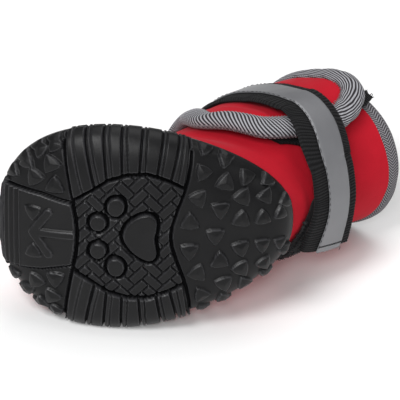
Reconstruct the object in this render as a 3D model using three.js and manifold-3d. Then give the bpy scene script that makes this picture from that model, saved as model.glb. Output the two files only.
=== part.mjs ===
// Dog bootie: a moulded rubber cup sole, a neoprene upper open down its front, a wrap flap with a
// rolled binding, and one strap with a reflective tape. It lies on its right side.
// Shoe axes while building: x from toe to heel, y to the wearer's right, z up from the tread, in mm.
// An angle on a ring runs from the toe (0) over the left side (90) to the heel (180).
import * as THREE from 'three';
import { mergeVertices } from 'three/addons/utils/BufferGeometryUtils.js';
import { ConvexHull } from 'three/addons/math/ConvexHull.js';
import Module from 'manifold-3d';

const wasm = await Module();
wasm.setup();

// Sole: a cup with a rounded underside
const soleLength = 72;
const soleWidth = 50.4;
const toeRise = 12.5;
const sideRise = 8;
const heelRise = 10.5;
const soleThickness = 3;
const rimWall = 2;
const lugHeight = 1.3;
const toePanelHeight = 0.9;
const grooveWidth = 0.75;
const ribsPerSide = 7;
const lipHeight = 3.2;
const insoleThickness = 2;

// Upper: the shaft leans back from the instep
const wall = 2.5;
const shaftWidth = 36.8;
const collarFrontHeight = 72.5;
const collarBackHeight = 44.5;
const collarFrontReach = 70;
const collarBackReach = 102;
const sideLean = 1.9;

// What is sewn to the upper
const flapThickness = 2;
const rollWidth = 6.6;
const rollThickness = 3.7;
const collarBindingThickness = 4.3;
const collarBindingProud = 0.45;
const hookStripWidth = 7;
const hookStripThickness = 0.8;
const strapWidth = 15;
const strapThickness = 1.5;
const tapeWidth = 7.6;
const tapeShift = 0.6;
const tapeThickness = 0.5;
const patchThickness = 1.3;
const clearance = 0.3;

const degree = Math.PI / 180;
const mix = (low, high, share) => low + (high - low) * share;
const smooth = (low, high, value) => {
  const share = Math.min(1, Math.max(0, (value - low) / (high - low)));
  return share * share * (3 - 2 * share);
};

// Rows of named columns, read at any place between them
function tableAt(table, key, place, column) {
  let row = 0;
  while (row < table.length - 2 && table[row + 1][key] < place) row += 1;
  const before = table[Math.max(row - 1, 0)][column];
  const low = table[row][column];
  const high = table[row + 1][column];
  const after = table[Math.min(row + 2, table.length - 1)][column];
  const reach = table[row + 1][key] - table[row][key];
  const share = Math.min(1, Math.max(0, (place - table[row][key]) / reach));
  const slope = high - before;
  const nextSlope = after - low;
  const cube = share * share * share;
  const square = share * share;
  return (2 * cube - 3 * square + 1) * low + (cube - 2 * square + share) * slope / 2
    + (3 * square - 2 * cube) * high + (cube - square) * nextSlope / 2;
}

// The rim of the cup in plan and height, with the roundness of the underside below it
const middle = soleLength / 2;
const rimFullness = 0.84;
const toeWidening = 0.23;
const rimCurve = 2.2;
const roundness = { toe: 2.15, side: 3.5, heel: 2.2 };
const roundnessCurve = 1.2;

function rimAt(angle) {
  const s = Math.sin(angle);
  const c = Math.cos(angle);
  const toe = Math.max(0, c);
  const heel = Math.max(0, -c);
  return {
    x: middle * (1 - c),
    y: -soleWidth / 2 * Math.sign(s) * Math.abs(s) ** rimFullness * (1 + toeWidening * c),
    z: sideRise + (toeRise - sideRise) * toe ** rimCurve + (heelRise - sideRise) * heel ** rimCurve,
    n: roundness.side + (roundness.toe - roundness.side) * toe ** roundnessCurve
      + (roundness.heel - roundness.side) * heel ** roundnessCurve,
  };
}

// A point of the cup: turn 0 is the middle of the floor and a quarter turn is the rim
function cupPoint(angle, turn, inset, floor) {
  const rim = rimAt(angle);
  const out = Math.sin(turn) ** (2 / rim.n);
  const up = 1 - Math.max(0, Math.cos(turn)) ** (2 / rim.n);
  const x = middle + (rim.x - middle) * (1 - inset / middle) * out;
  const y = rim.y * (1 - inset / (soleWidth / 2)) * out;
  return new THREE.Vector3(x, y, floor + (rim.z - floor) * up);
}

const quarter = Math.PI / 2;
const arcSteps = 40;
const arcSpacing = 1.6;
const rayCache = new Map();
const arcTurn = (step) => quarter * (step / arcSteps) ** arcSpacing;

// Distances over the underside, measured from its middle, for one ray
function rayFor(direction) {
  const key = Math.round(direction * 1e5);
  if (rayCache.has(key)) return rayCache.get(key);
  let low = 0;
  let high = 2 * Math.PI;
  while (high - low > 1e-9) {
    const guess = (low + high) / 2;
    const rim = rimAt(guess);
    let found = Math.atan2(rim.y, rim.x - middle) + Math.PI;
    if (guess > Math.PI && found < 0.001) found = 2 * Math.PI;
    if (found < direction + Math.PI) low = guess;
    else high = guess;
  }
  const angle = (low + high) / 2;
  const reach = [0];
  let last = cupPoint(angle, 0, 0, 0);
  for (let step = 1; step <= arcSteps; step += 1) {
    const next = cupPoint(angle, arcTurn(step), 0, 0);
    reach.push(reach[step - 1] + next.distanceTo(last));
    last = next;
  }
  const ray = { angle, reach };
  rayCache.set(key, ray);
  return ray;
}

function underside(across, out) {
  const distance = Math.hypot(across, out);
  const ray = rayFor(Math.atan2(out, across));
  const limit = ray.reach[arcSteps];
  let step = 0;
  while (step < arcSteps - 1 && ray.reach[step + 1] < distance) step += 1;
  const span = ray.reach[step + 1] - ray.reach[step];
  const share = (Math.min(distance, limit) - ray.reach[step]) / span;
  const point = cupPoint(ray.angle, arcTurn(step + share), 0, 0);
  point.z += Math.max(0, distance - limit);
  return point;
}

const treadNudge = 0.05;

// A place on the tread: along and out are distances over the surface from the sole's middle
function treadPoint(along, out, lift) {
  const step = treadNudge;
  const point = underside(along, out);
  const alongStep = underside(along + step, out).sub(underside(along - step, out));
  const outStep = underside(along, out + step).sub(underside(along, out - step));
  const normal = outStep.cross(alongStep).normalize();
  return point.addScaledVector(normal, lift);
}

function rimDistance(direction) {
  return rayFor(direction).reach[arcSteps];
}

// Closed bodies from rows of points
function bodyFrom(points, faces) {
  let volume = 0;
  const cross = new THREE.Vector3();
  for (const [a, b, c] of faces) volume += cross.crossVectors(points[b], points[c]).dot(points[a]);
  const geometry = new THREE.BufferGeometry();
  const numbers = points.flatMap((point) => [point.x, point.y, point.z]);
  geometry.setAttribute('position', new THREE.Float32BufferAttribute(numbers, 3));
  geometry.setIndex(faces.flatMap(([a, b, c]) => (volume < 0 ? [a, c, b] : [a, b, c])));
  return geometry;
}

// Rings of equal length joined into a tube, its ends closed by the given cap triangles
function tubeBody(rings, caps) {
  const count = rings[0].length;
  const faces = [];
  for (let i = 0; i < rings.length - 1; i += 1) {
    const start = i * count;
    const next = start + count;
    for (let j = 0; j < count; j += 1) {
      const k = (j + 1) % count;
      faces.push([start + j, start + k, next + k]);
      faces.push([start + j, next + k, next + j]);
    }
  }
  const last = (rings.length - 1) * count;
  for (const [a, b, c] of caps) {
    faces.push([a, c, b]);
    faces.push([last + a, last + b, last + c]);
  }
  return bodyFrom(rings.flat(), faces);
}

const fan = (count) => Array.from({ length: count - 2 }, (_, i) => [0, i + 1, i + 2]);

// A sheet with a thickness: two grids of the same size, joined round their edges
function sheetBody(outer, inner, closedAcross = false) {
  const rows = outer.length;
  const columns = outer[0].length;
  const spans = closedAcross ? columns : columns - 1;
  const points = [...outer.flat(), ...inner.flat()];
  const shift = rows * columns;
  const faces = [];
  const quad = (a, b, c, d) => faces.push([a, b, c], [a, c, d]);
  for (let i = 0; i < rows - 1; i += 1) {
    for (let j = 0; j < spans; j += 1) {
      const k = (j + 1) % columns;
      quad(i * columns + j, i * columns + k, (i + 1) * columns + k, (i + 1) * columns + j);
      quad(shift + i * columns + j, shift + (i + 1) * columns + j,
        shift + (i + 1) * columns + k, shift + i * columns + k);
    }
  }
  const top = (rows - 1) * columns;
  for (let j = 0; j < spans; j += 1) {
    const k = (j + 1) % columns;
    quad(j, shift + j, shift + k, k);
    quad(top + j, top + k, shift + top + k, shift + top + j);
  }
  if (!closedAcross) {
    for (let i = 0; i < rows - 1; i += 1) {
      const a = i * columns;
      const b = (i + 1) * columns;
      quad(a, b, shift + b, shift + a);
      quad(a + columns - 1, shift + a + columns - 1, shift + b + columns - 1, b + columns - 1);
    }
  }
  return bodyFrom(points, faces);
}

function toManifold(geometry) {
  const plain = geometry.clone();
  plain.deleteAttribute('normal');
  plain.deleteAttribute('uv');
  const merged = mergeVertices(plain, 1e-4);
  return new wasm.Manifold(new wasm.Mesh({
    numProp: 3,
    vertProperties: new Float32Array(merged.attributes.position.array),
    triVerts: new Uint32Array(merged.index.array),
  }));
}

function toGeometry(solid) {
  const mesh = solid.getMesh();
  const geometry = new THREE.BufferGeometry();
  geometry.setAttribute('position', new THREE.Float32BufferAttribute(mesh.vertProperties, 3));
  geometry.setIndex(Array.from(mesh.triVerts));
  return geometry;
}

// Lugs are prisms bent onto the tread. Each ring is a list of places with a lift.
const lugRoot = -1;
const lugDraft = 0.28;

function lugBody(rings, levelTop = false) {
  const flat = rings[0].map(([along, out]) => new THREE.Vector2(along, out));
  const turned = THREE.ShapeUtils.area(flat) < 0;
  if (turned) flat.reverse();
  const caps = THREE.ShapeUtils.triangulateShape(flat, []);
  const ordered = rings.map((ring) => (turned ? ring.toReversed() : ring));
  const points = ordered.map((ring) => ring.map(([along, out, lift]) => treadPoint(along, out, lift)));
  if (levelTop) {
    for (const point of points[1]) point.z = -ordered[1][0][2];
  }
  return tubeBody(points, caps);
}

function shrink(outline, amount) {
  const count = outline.length;
  const centre = outline.reduce((sum, [x, y]) => [sum[0] + x / count, sum[1] + y / count], [0, 0]);
  return outline.map(([x, y]) => {
    const reach = Math.hypot(x - centre[0], y - centre[1]);
    const share = 1 - amount / reach;
    return [centre[0] + (x - centre[0]) * share, centre[1] + (y - centre[1]) * share];
  });
}

function flatLug(outline, lift, levelTop = false) {
  const root = outline.map(([x, y]) => [x, y, lugRoot]);
  const top = shrink(outline, lugDraft).map(([x, y]) => [x, y, lift]);
  return lugBody([root, top], levelTop);
}

const ovalCorners = 10;

function ovalOutline(along, out, halfAlong, halfOut) {
  return Array.from({ length: ovalCorners }, (_, i) => {
    const turn = 2 * Math.PI * i / ovalCorners;
    return [along + halfAlong * Math.cos(turn), out + halfOut * Math.sin(turn)];
  });
}

// A three-cornered leaf, high along the edge away from its point
const leafSize = 5.2;
const leafCorners = [[0.56, 0], [0.12, 0.36], [-0.42, 0.5], [-0.5, 0], [-0.42, -0.5], [0.12, -0.36]];
const leafTop = 0.86;
const leafSlope = 0.62;

function leafLug(along, out, heading, size) {
  const place = ([u, v]) => [
    along + size * (u * Math.cos(heading) - v * Math.sin(heading)),
    out + size * (u * Math.sin(heading) + v * Math.cos(heading)),
  ];
  const root = leafCorners.map((corner) => [...place(corner), lugRoot]);
  const top = leafCorners.map(([u, v]) => (
    [...place([u * leafTop, v * leafTop]), lugHeight * leafSlope * (1 - u)]));
  return lugBody([root, top]);
}

// Places on the tread as shares of the sole's length and width
const panelEdge = [
  { along: -0.257, out: 0.175 },
  { along: -0.193, out: 0.234 },
  { along: -0.132, out: 0.290 },
  { along: -0.068, out: 0.320 },
  { along: 0.0, out: 0.325 },
  { along: 0.065, out: 0.297 },
  { along: 0.122, out: 0.250 },
];
const toeBeans = [
  { along: -0.106, out: -0.165, halfAlong: 0.030, halfOut: 0.050 },
  { along: -0.167, out: -0.068, halfAlong: 0.030, halfOut: 0.044 },
  { along: -0.167, out: 0.068, halfAlong: 0.030, halfOut: 0.044 },
  { along: -0.106, out: 0.165, halfAlong: 0.030, halfOut: 0.050 },
];
const pawPad = [
  { along: -0.083, out: 0.0 },
  { along: -0.075, out: 0.060 },
  { along: -0.045, out: 0.105 },
  { along: -0.006, out: 0.126 },
  { along: 0.022, out: 0.112 },
  { along: 0.031, out: 0.070 },
  { along: 0.024, out: 0.020 },
];
const heelLeaves = [
  { along: 0.142, out: 0.075, heading: 90 },
  { along: 0.171, out: 0.198, heading: -70 },
  { along: 0.186, out: 0.325, heading: 0 },
  { along: 0.246, out: 0.137, heading: -90 },
  { along: 0.264, out: 0.268, heading: -45 },
  { along: 0.268, out: 0.375, heading: 10 },
  { along: 0.318, out: 0.075, heading: 80 },
  { along: 0.322, out: 0.190, heading: -60 },
  { along: 0.340, out: 0.285, heading: 0 },
  { along: 0.394, out: 0.071, heading: 90 },
  { along: 0.405, out: 0.180, heading: -60 },
  { along: 0.462, out: 0.080, heading: 90 },
];
const toeLeaves = [
  { along: -0.385, out: 0.280, heading: 0 },
  { along: -0.314, out: 0.248, heading: 90 },
  { along: -0.328, out: 0.355, heading: 0 },
  { along: -0.420, out: 0.350, heading: -30 },
  { along: -0.372, out: 0.420, heading: 20 },
  { along: -0.318, out: 0.450, heading: 0 },
];
const centreLeaf = { along: 0.229, heading: 90 };
const alongTread = (share) => share * soleLength;
const outTread = (share) => share * soleWidth;

// Side ribs fan out between two lines across the sole
const ribStart = { inner: -0.250, outer: -0.284 };
const ribEnd = { inner: 0.113, outer: 0.140 };
const ribStations = 4;

function ribLug(index, side) {
  const edge = (number, shift) => {
    const share = number / ribsPerSide;
    const innerAlong = alongTread(mix(ribStart.inner, ribEnd.inner, share)) + shift;
    const outerAlong = alongTread(mix(ribStart.outer, ribEnd.outer, share)) + shift;
    const innerOut = outTread(tableAt(panelEdge, 'along', innerAlong / soleLength, 'out')) + grooveWidth;
    const direction = Math.atan2(soleWidth / 2, outerAlong);
    const reach = rimDistance(direction) - lipHeight;
    return {
      innerAlong,
      innerOut,
      outerAlong: reach * Math.cos(direction),
      outerOut: reach * Math.sin(direction),
    };
  };
  const low = edge(index, grooveWidth / 2);
  const high = edge(index + 1, -grooveWidth / 2);
  const ribPlace = (ends, share, inset) => [mix(ends.innerAlong, ends.outerAlong, share) + inset,
    side * mix(ends.innerOut, ends.outerOut, share)];
  const rings = [];
  for (let i = 0; i <= ribStations; i += 1) {
    const share = i / ribStations;
    const end = i === 0 || i === ribStations ? lugDraft : 0;
    const inward = i === 0 ? end : -end;
    const root = [ribPlace(low, share, 0), ribPlace(high, share, 0)];
    const top = [ribPlace(high, share, -lugDraft), ribPlace(low, share, lugDraft)];
    rings.push([
      treadPoint(root[0][0], root[0][1], lugRoot),
      treadPoint(root[1][0], root[1][1], lugRoot),
      treadPoint(top[0][0], top[0][1] + side * inward, lugHeight),
      treadPoint(top[1][0], top[1][1] + side * inward, lugHeight),
    ]);
  }
  return tubeBody(rings, fan(4));
}

// A straight bar between two places of the tread
function barLug(from, to, width, lift, stations = 2) {
  const dx = to[0] - from[0];
  const dy = to[1] - from[1];
  const length = Math.hypot(dx, dy);
  const side = [-dy / length * width / 2, dx / length * width / 2];
  const rings = [];
  for (let i = 0; i <= stations; i += 1) {
    const x = mix(from[0], to[0], i / stations);
    const y = mix(from[1], to[1], i / stations);
    const share = 1 - lugDraft / width;
    rings.push([
      treadPoint(x - side[0], y - side[1], lugRoot),
      treadPoint(x + side[0], y + side[1], lugRoot),
      treadPoint(x + side[0] * share, y + side[1] * share, lift),
      treadPoint(x - side[0] * share, y - side[1] * share, lift),
    ]);
  }
  return tubeBody(rings, fan(4));
}

// The toe has a panel with an arrow and two leaves, and ridges over its bumper
const toePanel = [
  { along: -0.424, out: 0.205 },
  { along: -0.350, out: 0.190 },
  { along: -0.290, out: 0.170 },
  { along: -0.262, out: 0.165 },
  { along: -0.248, out: 0.090 },
];
const bumperRidges = [-0.441, -0.462, -0.483, -0.504];
const bumperRidgeWidth = 1.05;
const bumperHalfWidth = 0.2;
const arrowTip = -0.385;
const arrowTail = -0.252;
const arrowBarb = { along: -0.336, out: 0.105 };
const arrowWidth = 2.2;
const panelLeaf = { along: -0.398, out: 0.115, heading: 150, size: 4.3 };

function toeLugs() {
  const half = toePanel.map(({ along, out }) => [alongTread(along), outTread(out)]);
  const outline = [...half, ...half.toReversed().map(([x, y]) => [x, -y])];
  const raised = toePanelHeight + lugHeight / 2;
  const tip = [alongTread(arrowTip), 0];
  const lugs = [flatLug(outline, toePanelHeight)];
  lugs.push(barLug([alongTread(arrowTail), 0], tip, arrowWidth, raised, 3));
  for (const side of [-1, 1]) {
    const barb = [alongTread(arrowBarb.along), side * outTread(arrowBarb.out)];
    lugs.push(barLug(tip, barb, arrowWidth, raised));
    const { along, out, heading, size } = panelLeaf;
    lugs.push(leafLug(alongTread(along), side * outTread(out), side * heading * degree, size));
  }
  const reach = outTread(bumperHalfWidth);
  for (const share of bumperRidges) {
    const along = alongTread(share);
    lugs.push(barLug([along, -reach], [along, reach], bumperRidgeWidth, lugHeight / 2, 4));
  }
  return lugs;
}

function treadLugs() {
  const lugs = toeLugs();
  for (const bean of toeBeans) {
    lugs.push(flatLug(ovalOutline(alongTread(bean.along), outTread(bean.out),
      alongTread(bean.halfAlong), outTread(bean.halfOut)), lugHeight));
  }
  const padHalf = pawPad.map(({ along, out }) => [alongTread(along), outTread(out)]);
  const padOther = padHalf.slice(1).toReversed().map(([x, y]) => [x, -y]);
  lugs.push(flatLug([...padHalf, ...padOther], lugHeight, true));
  for (const side of [-1, 1]) {
    for (let index = 0; index < ribsPerSide; index += 1) lugs.push(ribLug(index, side));
    for (const leaf of [...heelLeaves, ...toeLeaves]) {
      const heading = side * leaf.heading * degree;
      lugs.push(leafLug(alongTread(leaf.along), side * outTread(leaf.out), heading, leafSize));
    }
  }
  lugs.push(leafLug(alongTread(centreLeaf.along), 0, centreLeaf.heading * degree, leafSize));
  return lugs;
}

const soleColumns = 48;
const outerTurns = [16, 34, 50, 63, 74, 83, 90];
const innerTurns = [90, 76, 62, 45, 26];

function outsoleSolid() {
  const points = [cupPoint(0, 0, 0, 0)];
  const faces = [];
  const rings = [];
  for (const turn of outerTurns) rings.push({ turn: turn * degree, inset: 0, floor: 0 });
  for (const turn of innerTurns) rings.push({ turn: turn * degree, inset: rimWall, floor: soleThickness });
  for (const { turn, inset, floor } of rings) {
    for (let j = 0; j < soleColumns; j += 1) {
      points.push(cupPoint(2 * Math.PI * j / soleColumns, turn, inset, floor));
    }
  }
  points.push(cupPoint(0, 0, 0, soleThickness));
  const end = points.length - 1;
  for (let j = 0; j < soleColumns; j += 1) {
    const k = (j + 1) % soleColumns;
    faces.push([0, 1 + j, 1 + k]);
    for (let i = 0; i < rings.length - 1; i += 1) {
      const a = 1 + i * soleColumns;
      const b = a + soleColumns;
      faces.push([a + j, b + j, b + k], [a + j, b + k, a + k]);
    }
    const last = 1 + (rings.length - 1) * soleColumns;
    faces.push([last + j, end, last + k]);
  }
  let solid = toManifold(bodyFrom(points, faces));
  for (const lug of treadLugs()) solid = solid.add(toManifold(lug));
  return toGeometry(solid);
}

const insoleTurns = [20, 42];
const insoleColumns = 30;

function insoleSolid() {
  const grid = (lift) => insoleTurns.map((turn) => Array.from({ length: insoleColumns }, (_, j) => {
    const angle = 2 * Math.PI * j / insoleColumns;
    const point = cupPoint(angle, turn * degree, rimWall + clearance, soleThickness);
    point.z += clearance + lift;
    return point;
  }));
  const bottom = grid(0);
  const top = grid(insoleThickness);
  for (const point of top[0]) point.z = soleThickness + clearance + insoleThickness;
  const rings = [...bottom, ...top.toReversed()];
  const points = rings.flat();
  points.push(new THREE.Vector3(middle, 0, soleThickness + clearance));
  points.push(new THREE.Vector3(middle, 0, soleThickness + clearance + insoleThickness));
  const low = points.length - 2;
  const high = points.length - 1;
  const faces = [];
  const count = insoleColumns;
  for (let j = 0; j < count; j += 1) {
    const k = (j + 1) % count;
    faces.push([low, j, k]);
    for (let i = 0; i < rings.length - 1; i += 1) {
      const a = i * count;
      const b = a + count;
      faces.push([a + j, b + j, b + k], [a + j, b + k, a + k]);
    }
    const last = (rings.length - 1) * count;
    faces.push([last + j, high, last + k]);
  }
  return bodyFrom(points, faces);
}

// Upper: rings from the hem in the cup (row 0), over the rim (row 1), to the collar (row 8).
// Heights are shares of the way from the rim to the collar; narrowing runs from the rim's width
// to the shaft's width; front and back are shares of the way to the collar's front and back.
const upperRings = [
  { front: 0.043, frontUp: 0.067, back: 0.033, backUp: 0.118, narrowing: 0.27, egg: 0.20, lean: 0.05 },
  { front: 0.186, frontUp: 0.225, back: 0.167, backUp: 0.265, narrowing: 1.25, egg: -0.14, lean: 0.62 },
  { front: 0.386, frontUp: 0.375, back: 0.283, backUp: 0.397, narrowing: 1.18, egg: -0.18, lean: 0.68 },
  { front: 0.557, frontUp: 0.550, back: 0.417, backUp: 0.544, narrowing: 1.07, egg: -0.15, lean: 0.68 },
  { front: 0.714, frontUp: 0.717, back: 0.567, backUp: 0.691, narrowing: 1.0, egg: -0.12, lean: 0.72 },
  { front: 0.857, frontUp: 0.875, back: 0.750, backUp: 0.824, narrowing: 1.0, egg: -0.11, lean: 0.85 },
  { front: 1.0, frontUp: 1.0, back: 1.0, backUp: 1.0, narrowing: 1.0, egg: -0.11, lean: 1.0 },
];
const hemTurn = 62 * degree;
const rowCount = upperRings.length + 2;
const collarRow = rowCount - 1;
const wallEndRow = collarRow - 0.55;
const pastCollar = 0.5;

function ringPoint(row, angle) {
  if (row === 0) {
    const point = cupPoint(angle, hemTurn, rimWall + clearance, soleThickness);
    point.z += clearance;
    return point;
  }
  if (row === 1) return cupPoint(angle, quarter, rimWall + clearance, soleThickness);
  const ring = upperRings[row - 2];
  const frontX = collarFrontReach * ring.front;
  const frontZ = mix(toeRise, collarFrontHeight, ring.frontUp);
  const backX = mix(soleLength, collarBackReach, ring.back);
  const backZ = mix(heelRise, collarBackHeight, ring.backUp);
  const halfWidth = mix(soleWidth / 2 - rimWall - clearance, shaftWidth / 2, ring.narrowing);
  const c = Math.cos(angle);
  return new THREE.Vector3(
    mix(backX, frontX, (1 + c) / 2),
    ring.lean * sideLean - halfWidth * Math.sin(angle) * (1 + ring.egg * c),
    mix(backZ, frontZ, (1 + c) / 2),
  );
}

function skinPoint(row, angle) {
  const place = Math.min(Math.max(row, 0), collarRow + pastCollar);
  const low = Math.min(Math.floor(place), collarRow - 1);
  const t = place - low;
  const before = ringPoint(Math.max(low - 1, 0), angle);
  const start = ringPoint(low, angle);
  const end = ringPoint(low + 1, angle);
  const after = ringPoint(Math.min(low + 2, collarRow), angle);
  const blend = (a, b, c, d) => 0.5 * (2 * b + (c - a) * t + (2 * a - 5 * b + 4 * c - d) * t * t
    + (3 * b - a - 3 * c + d) * t * t * t);
  return new THREE.Vector3(
    blend(before.x, start.x, end.x, after.x),
    blend(before.y, start.y, end.y, after.y),
    blend(before.z, start.z, end.z, after.z),
  );
}

const nudge = 0.01;

function skinNormal(row, angle) {
  const up = skinPoint(row + nudge, angle).sub(skinPoint(row - nudge, angle));
  const round = skinPoint(row, angle + nudge).sub(skinPoint(row, angle - nudge));
  return round.cross(up).normalize();
}

// A place on the upper, lifted off its outer face
function upperPoint(row, angle, lift) {
  return skinPoint(row, angle).addScaledVector(skinNormal(row, angle), lift);
}

const upperRows = [0, 0.5, 1, 1.3, 1.65, 2, 2.4, 2.8, 3.3, 3.8, 4.4, 5, 5.7, 6.5, wallEndRow];
const upperColumns = 36;
const upperGrid = (lift) => upperRows.map((row) => Array.from({ length: upperColumns }, (_, j) => (
  upperPoint(row, 2 * Math.PI * j / upperColumns, lift))));

// The throat, cut through the front of the upper and covered by the flap
const throatRight = -25;
const throatBottom = [
  { share: 0.0, row: 6.0 },
  { share: 0.3, row: 6.1 },
  { share: 0.6, row: 5.5 },
  { share: 0.85, row: 4.7 },
  { share: 1.0, row: 4.5 },
];
const throatLeft = [
  { row: 4.0, angle: 88 },
  { row: 5.0, angle: 101 },
  { row: 6.0, angle: 107 },
  { row: 7.0, angle: 106 },
  { row: 8.0, angle: 104 },
  { row: 9.0, angle: 104 },
];

const throatSteps = { up: 8, over: 10 };

// Rows of points: up runs along the leg, over runs round it, both from 0 to 1
function gridOf(steps, placeAt) {
  return Array.from({ length: steps.up + 1 }, (_, i) => (
    Array.from({ length: steps.over + 1 }, (_unused, j) => placeAt(i / steps.up, j / steps.over))));
}

function throatCutter() {
  const grid = (lift) => gridOf(throatSteps, (up, over) => {
    const row = mix(tableAt(throatBottom, 'share', over, 'row'), collarRow + pastCollar, up);
    const angle = mix(throatRight, tableAt(throatLeft, 'row', row, 'angle'), over);
    return upperPoint(row, angle * degree, lift);
  });
  return sheetBody(grid(wall / 2), grid(-wall * 1.5));
}

function upperSolid() {
  const shell = toManifold(sheetBody(upperGrid(0), upperGrid(-wall), true));
  return toGeometry(shell.subtract(toManifold(throatCutter())));
}

// The collar's binding caps the wall from the throat's right edge, round the back, to its left edge
const bindingSection = [[-0.5, 0], [-0.3, -0.5], [0.3, -0.5], [0.5, 0], [0.3, 0.5], [-0.3, 0.5]];
const bindingSteps = 38;
const bindingGap = 0.03;
const turnDegrees = 360;

function collarBindingSolid() {
  const rings = [];
  const start = tableAt(throatLeft, 'row', collarRow, 'angle');
  const end = turnDegrees + throatRight;
  const lowRow = wallEndRow + bindingGap;
  for (let i = 0; i <= bindingSteps; i += 1) {
    const angle = mix(start, end, i / bindingSteps) * degree;
    rings.push(bindingSection.map(([up, out]) => upperPoint(
      mix(lowRow, collarRow, up + 0.5), angle, collarBindingProud + collarBindingThickness * (out - 0.5))));
  }
  return tubeBody(rings, fan(bindingSection.length));
}

// The flap: from its seam on the right to its free left edge, from the instep to the collar
const flapSeamAngle = -44;
const flapTopRow = 7.5;
const flapFoot = [
  { over: 0.0, row: 5.05 },
  { over: 0.25, row: 5.4 },
  { over: 0.4, row: 5.46 },
  { over: 0.54, row: 5.4 },
  { over: 0.64, row: 5.26 },
  { over: 0.74, row: 4.98 },
  { over: 0.82, row: 4.62 },
  { over: 0.91, row: 4.2 },
  { over: 1.0, row: 3.8 },
];
const flapEdge = [
  { share: 0.0, row: 3.8, angle: 90 },
  { share: 0.1, row: 3.8, angle: 96 },
  { share: 0.2, row: 3.74, angle: 106 },
  { share: 0.3, row: 3.76, angle: 116 },
  { share: 0.4, row: 4.0, angle: 121.5 },
  { share: 0.5, row: 4.4, angle: 125.5 },
  { share: 0.6, row: 4.9, angle: 129 },
  { share: 0.7, row: 5.45, angle: 130.5 },
  { share: 0.8, row: 6.1, angle: 131.2 },
  { share: 0.9, row: 6.85, angle: 127 },
  { share: 1.0, row: 7.5, angle: 121 },
];
const edgePull = 3;

// The hook strip runs under the flap's left edge: the angle it is centred on at each row
const hookPath = [
  { row: 3.6, angle: 119 },
  { row: 4.0, angle: 121.5 },
  { row: 4.4, angle: 125.5 },
  { row: 4.9, angle: 129 },
  { row: 5.45, angle: 130.5 },
  { row: 6.1, angle: 131.2 },
  { row: 6.85, angle: 127 },
  { row: 8.2, angle: 116 },
];
const flapLiftRange = { start: 42, end: 16 };
const flapLiftRows = { start: 3.1, end: 3.5 };

// A place on the flap: up runs from its lower to its upper edge, over from its seam to its free edge
function flapPlace(up, over) {
  const straight = mix(flapEdge[0].row, flapTopRow, up);
  const pull = over ** edgePull * (tableAt(flapEdge, 'share', up, 'row') - straight);
  return {
    row: mix(tableAt(flapFoot, 'over', over, 'row'), flapTopRow, up) + pull,
    angle: mix(flapSeamAngle, tableAt(flapEdge, 'share', up, 'angle'), over),
  };
}

// What lies over the collar's binding is lifted by as much as it stands proud
const collarStep = (row) => collarBindingProud * smooth(wallEndRow - 1, wallEndRow - 0.05, row);

// The flap lies on the upper, and its free edge lies on the hook strip
function flapLift(row, angle) {
  const strip = hookStripThickness + 1.5 * clearance;
  const edge = tableAt(hookPath, 'row', row, 'angle');
  return clearance + collarStep(row) + strip
    * smooth(edge - flapLiftRange.start, edge - flapLiftRange.end, angle)
    * smooth(flapLiftRows.start, flapLiftRows.end, row);
}

function flapPoint(up, over, height) {
  const { row, angle } = flapPlace(up, over);
  return upperPoint(row, angle * degree, flapLift(row, angle) + height);
}

// The rolled binding follows the flap's lower, left and upper edge, with rounded corners
const rollCorner = { up: 0.12, over: 0.1 };
const rollSteps = { lower: 16, corner: 6, side: 18, upper: 15 };

// The panel starts just inside the binding's ends at the seam, and its edges lie inside the roll
const panelStart = 0.04;
const panelInset = 0.025;
const flapColumns = 12;

// How far over the flap reaches at one height, with its corners cut round
function flapReach(up) {
  const nearEdge = Math.min(up, 1 - up);
  const short = Math.max(0, 1 - nearEdge / rollCorner.up);
  return 1 - rollCorner.over * (1 - Math.sqrt(1 - short * short));
}

function rollPath() {
  const path = [];
  const straight = 1 - rollCorner.over;
  for (let i = 0; i < rollSteps.lower; i += 1) path.push([0, straight * i / rollSteps.lower]);
  for (let i = 0; i < rollSteps.corner; i += 1) {
    const turn = quarter * i / rollSteps.corner;
    path.push([rollCorner.up * (1 - Math.cos(turn)), 1 - rollCorner.over * (1 - Math.sin(turn))]);
  }
  for (let i = 0; i < rollSteps.side; i += 1) {
    path.push([mix(rollCorner.up, 1 - rollCorner.up, i / rollSteps.side), 1]);
  }
  for (let i = 0; i < rollSteps.corner; i += 1) {
    const turn = quarter * i / rollSteps.corner;
    path.push([1 - rollCorner.up * (1 - Math.sin(turn)), 1 - rollCorner.over * (1 - Math.cos(turn))]);
  }
  for (let i = 0; i <= rollSteps.upper; i += 1) path.push([1, straight * (1 - i / rollSteps.upper)]);
  return path;
}

function rollBody(grow, deepen) {
  const path = rollPath();
  const places = path.map(([up, over]) => {
    const { row, angle } = flapPlace(up, over);
    return { row, angle, centre: flapPoint(up, over, rollThickness / 2 - clearance / 2) };
  });
  const rings = places.map(({ row, angle, centre }, i) => {
    const before = places[Math.max(i - 1, 0)].centre;
    const after = places[Math.min(i + 1, places.length - 1)].centre;
    const along = after.clone().sub(before).normalize();
    const normal = skinNormal(row, angle * degree);
    const side = along.clone().cross(normal).normalize();
    const out = side.clone().cross(along).normalize();
    return bindingSection.map(([across, height]) => centre.clone()
      .addScaledVector(side, across * (rollWidth + 2 * grow))
      .addScaledVector(out, height * (rollThickness + 2 * grow + deepen)));
  });
  return tubeBody(rings, fan(bindingSection.length));
}

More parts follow.
